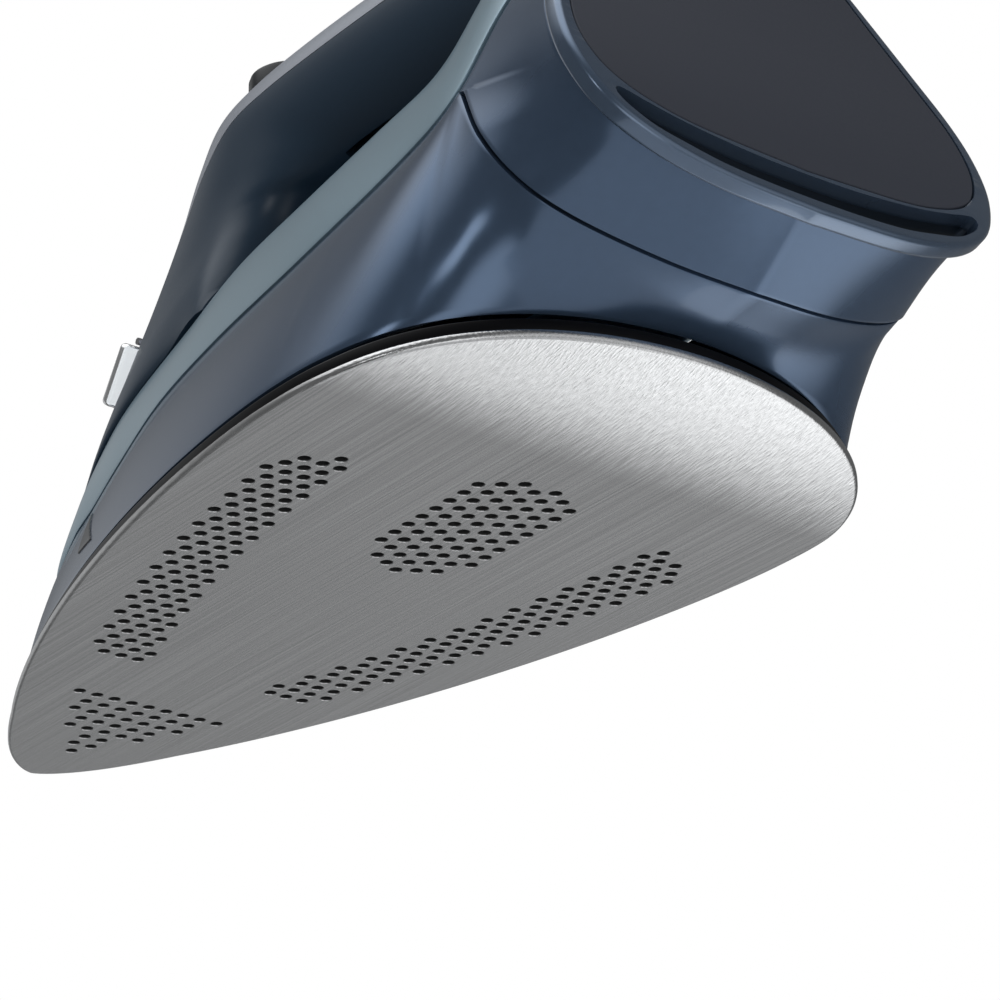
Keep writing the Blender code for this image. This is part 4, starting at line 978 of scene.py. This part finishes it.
# ---------------------------------------------------------------- nose: door, nozzle, vents
DOOR_AT = (70.4, 0.0, 72.6)
DOOR_UP = (-0.5656, 0.0, 0.8247)
DOOR_OUT = (0.8247, 0.0, 0.5656)
DOOR_LENGTH, DOOR_WIDTH = 14.5, 23.0
NOZZLE_AT = (80.6, 0.0, 56.4)
NOZZLE_AIM = (0.86, 0.0, 0.51)
VENT_CORNERS = ((0.332, 0.60), (0.352, 0.225), (0.380, 0.175))    # on the lower body's wall


def door_recess(name):
    """The pocket for the door and its hinge pin."""
    return door_block(name, 0.6, "brass", 13.0, -3.0, 2.2)


def door_block(name, margin, material, height, low, upper=0.0):
    """A block lying on the slope of the nose: low is its underside above the nose line,
    and upper lengthens its top end."""
    size = (DOOR_LENGTH + 2 * margin + upper, DOOR_WIDTH + 2 * margin, height)
    obj = block(name, size, (0, 0, 0), material, 0)
    frame = Matrix((
        (DOOR_UP[0], 0, DOOR_OUT[0], 0), (0, 1, 0, 0), (DOOR_UP[2], 0, DOOR_OUT[2], 0), (0, 0, 0, 1),
    ))
    lift = (Vector(DOOR_AT) + Vector(DOOR_OUT) * (low + height / 2) + Vector(DOOR_UP) * upper / 2) * MM
    obj.matrix_world = Matrix.Translation(lift) @ frame
    return obj


def make_nose_fittings():
    door = door_block("fill_door", -0.4, "clear_plastic", 3.2, -2.4)
    soften(door, 1.1, 5)
    settle(door, "fill_door_body", "clear_plastic", 40)
    nozzle = [(0, 2.4), (1.8, 2.4), (3.6, 0.6), (3.6, -3.2), (2.0, -3.2), (2.0, -5.5), (0, -5.5)]
    piece = turned("spray_nozzle", nozzle, NOZZLE_AT, "button_black", NOZZLE_AIM, 48)
    settle(piece, "iron_body", "button_black", 30)
    for side, name in ((1, "nose_vent_left"), (-1, "nose_vent_right")):
        settle(soften(vent(name, side), 0.10), "iron_body", "button_black")


def vent(name, side, steps=8):
    """A thin triangular inlay that follows the lower body's wall."""
    a, b, c = (np.array(corner) for corner in VENT_CORNERS)
    index, points, faces = {}, [], []
    for level, height in enumerate((-0.3, 0.28)):
        for i in range(steps + 1):
            for j in range(steps + 1 - i):
                u, v = a + (b - a) * i / steps + (c - a) * j / steps
                across = body_rib(u + 0.004, v) - body_rib(u - 0.004, v)
                out = np.cross(across, body_rib(u, v + 0.02) - body_rib(u, v - 0.02))
                out = out / np.linalg.norm(out) * (1 if out[1] > 0 else -1)
                index[level, i, j] = len(points)
                points.append((body_rib(u, v) + out * height) * (1, side, 1))
        for i in range(steps):
            for j in range(steps - i):
                faces.append((index[level, i, j], index[level, i + 1, j], index[level, i, j + 1]))
                if i + j < steps - 1:
                    corner = index[level, i + 1, j + 1]
                    faces.append((index[level, i + 1, j], corner, index[level, i, j + 1]))
    rim = [(i, 0) for i in range(steps)] + [(steps - j, j) for j in range(steps)]
    rim += [(0, steps - k) for k in range(steps)]
    for p, q in zip(rim, rim[1:] + rim[:1]):
        faces.append((index[(0, *p)], index[(0, *q)], index[(1, *q)], index[(1, *p)]))
    return add_object(name, mesh_from(name, points, faces), "button_black")


# ---------------------------------------------------------------- buttons, selector, dial, gland
def make_controls():
    top = BUTTON_TOP
    cap = [(0, top - 0.5), (BUTTON_R - 3.0, top - 0.2), (BUTTON_R - 1.6, top),
           (BUTTON_R - 0.9, top - 0.15), (BUTTON_R - 0.3, top - 0.6), (BUTTON_R, top - 1.5),
           (BUTTON_R, 117.6), (3.2, 117.6), (3.2, 108.2), (0, 108.2)]
    button = turned("spray_button", cap, (BUTTON_X, 0, 0), "button_black", steps=72)
    settle(button, "spray_button_body", "button_black", 30)
    low, high = TRIGGER_X
    middle = (low + high) / 2
    trigger = block("steam_trigger", (high - low, 13.6, 7.0), (middle, 0, 87.6), "button_black", 0)
    settle(soften(trigger, 1.6, 5), "steam_trigger_body", "button_black")
    slider = block("steam_selector", (8.0, 6.4, 3.0), (SELECTOR_X - 9, 0, 124.3), "button_black", 0)
    soften(slider, 0.9, 4)
    stem = block("selector_stem", (3.0, 2.4, 8.0), (SELECTOR_X - 9, 0, 119.4), "button_black", 0)
    join = slider.modifiers.new("stem", "BOOLEAN")
    join.operation = "UNION"
    join.object = as_cutter(stem)
    settle(slider, "steam_selector_body", "button_black")
    lens = [(0, 123.0), (1.2, 122.95), (2.0, 122.8), (2.5, 122.4), (2.7, 122.0)]
    lens += [(2.7, 117.0), (0, 117.0)]
    lamp = turned("pilot_lamp_lens", lens, (-46, 0, 0), "lamp_amber", steps=40)
    settle(lamp, "iron_body", "lamp_amber")
    gland = [(3.6, 13.0), (4.6, 12.9), (5.0, 12.6), (5.4, 5.0), (6.6, 3.0), (7.1, 1.4), (7.2, 0.0),
             (6.9, -1.9), (6.2, -3.6), (5.1, -4.9), (3.6, -5.8), (3.6, 13.0)]
    piece = turned("cord_gland", gland, (GLAND_X, 0, 114), "button_black", (-0.5, 0, 0.866), 56)
    settle(piece, "cord_gland_body", "button_black")
    dial = [(0, 64.4), (16.4, 64.4), (17.6, 64.15), (18.6, 63.2), (19.0, 59.8), (2.6, 59.8),
            (2.6, 55.8), (0, 55.8)]
    piece = turned("temperature_dial", dial, (DIAL_X, 0, 0), "handle_navy", steps=96)
    settle(piece, "temperature_dial_body", "handle_navy")


make_sole()
make_heat_shield()
make_lower_body()
make_rear_cover()
make_side_band()
make_deck()
make_handle_body()
top_cover = make_top_cover()
make_cover_openings(top_cover)
settle(top_cover, "iron_body", "cover_grey")
make_heel()
make_nose_fittings()
make_controls()
for cutter in CUTTERS:
    bpy.data.objects.remove(cutter, do_unlink=True)

SLOTS = {row["node"]: row["material_slot"] for row in frame["record"]["subparts"]}
# Painted unlike its slot in the record: the rear bracket is painted black as painted shade in the gap
# between skirt and body.
PAINTED_SHADE_PARTS = {"rear_bracket": "black_shield"}
for name, node in NODES.items():
    node.data.materials.clear()
    node.data.materials.append(MATERIALS[PAINTED_SHADE_PARTS.get(name, SLOTS[name])])

# ---------------------------------------------------------------- floor, light and camera
FLOOR_Z = -0.9
FLOOR_SIZE = 1.2
bpy.ops.mesh.primitive_plane_add(size=FLOOR_SIZE, location=(-0.1, 0.0, FLOOR_Z))
floor = bpy.context.object
floor.name = "floor"
pale = bpy.data.materials.new("floor_paint")
pale.use_nodes = True
pale.node_tree.nodes["Principled BSDF"].inputs["Base Color"].default_value = (0.85, 0.85, 0.86, 1.0)
pale.node_tree.nodes["Principled BSDF"].inputs["Roughness"].default_value = 0.8
floor.data.materials.append(pale)

# Soft boxes round the iron: direction, inner and outer half angle in degrees, brightness.
SKY = 0.14
SOFT_BOXES = (
    ((0.05, 0.35, 0.93), 18, 50, 1.6),
    ((1.00, 0.00, 0.22), 8, 30, 0.35),
    ((-0.20, 0.97, -0.12), 3, 11, 2.6),
    ((-0.95, -0.20, -0.20), 12, 44, 0.50),
    ((0.05, -0.35, -0.93), 22, 46, 1.4),
    ((0.34, -0.53, -0.78), 8, 22, 0.3),
    ((-0.60, 0.42, -0.67), 8, 26, 1.2),
    ((0.70, -0.60, -0.30), 5, 30, 0.12),
)


def make_world():
    world = bpy.data.worlds.new("studio")
    bpy.context.scene.world = world
    world.use_nodes = True
    nodes, links = world.node_tree.nodes, world.node_tree.links
    nodes.clear()
    where = nodes.new("ShaderNodeTexCoord")
    total = None
    for direction, inner, outer, strength in SOFT_BOXES:
        way = nodes.new("ShaderNodeVectorMath")
        way.operation = "DOT_PRODUCT"
        way.inputs[1].default_value = Vector(direction).normalized()
        links.new(where.outputs["Generated"], way.inputs[0])
        edge = nodes.new("ShaderNodeMapRange")
        edge.interpolation_type = "SMOOTHSTEP"
        edge.inputs["From Min"].default_value = math.cos(math.radians(outer))
        edge.inputs["From Max"].default_value = math.cos(math.radians(inner))
        edge.inputs["To Min"].default_value = 0.0
        edge.inputs["To Max"].default_value = strength
        links.new(way.outputs["Value"], edge.inputs["Value"])
        add = nodes.new("ShaderNodeMath")
        add.operation = "ADD"
        add.inputs[1].default_value = SKY
        links.new(edge.outputs["Result"], add.inputs[0])
        if total is not None:
            links.new(total, add.inputs[1])
        total = add.outputs["Value"]
    studio = nodes.new("ShaderNodeBackground")
    studio.inputs["Color"].default_value = (0.97, 0.985, 1.0, 1.0)
    links.new(total, studio.inputs["Strength"])
    plain = nodes.new("ShaderNodeBackground")
    plain.inputs["Color"].default_value = (1.0, 1.0, 1.0, 1.0)
    ray = nodes.new("ShaderNodeLightPath")
    mix = nodes.new("ShaderNodeMixShader")
    seen = nodes.new("ShaderNodeMath")
    seen.operation = "MAXIMUM"
    links.new(ray.outputs["Is Camera Ray"], seen.inputs[0])
    links.new(ray.outputs["Is Transmission Ray"], seen.inputs[1])
    links.new(seen.outputs["Value"], mix.inputs["Fac"])
    links.new(studio.outputs["Background"], mix.inputs[1])
    links.new(plain.outputs["Background"], mix.inputs[2])
    out = nodes.new("ShaderNodeOutputWorld")
    links.new(mix.outputs["Shader"], out.inputs["Surface"])


def make_camera():
    data = bpy.data.cameras.new("camera")
    data.sensor_width = 36.0
    data.lens = 145.69
    data.clip_start = 0.01
    data.clip_end = 20.0
    camera = bpy.data.objects.new("camera", data)
    bpy.context.scene.collection.objects.link(camera)
    right = (-0.5997, -0.8001, -0.0153)
    up = (-0.3364, 0.2347, 0.9120)
    back = (-0.7261, 0.5520, -0.4099)
    turn = Matrix((right, up, back)).transposed()
    camera.matrix_world = Matrix.Translation((-0.61196, 0.42657, -0.31428)) @ turn.to_4x4()
    bpy.context.scene.camera = camera


make_world()
make_camera()
bpy.context.scene.view_settings.view_transform = "Standard"
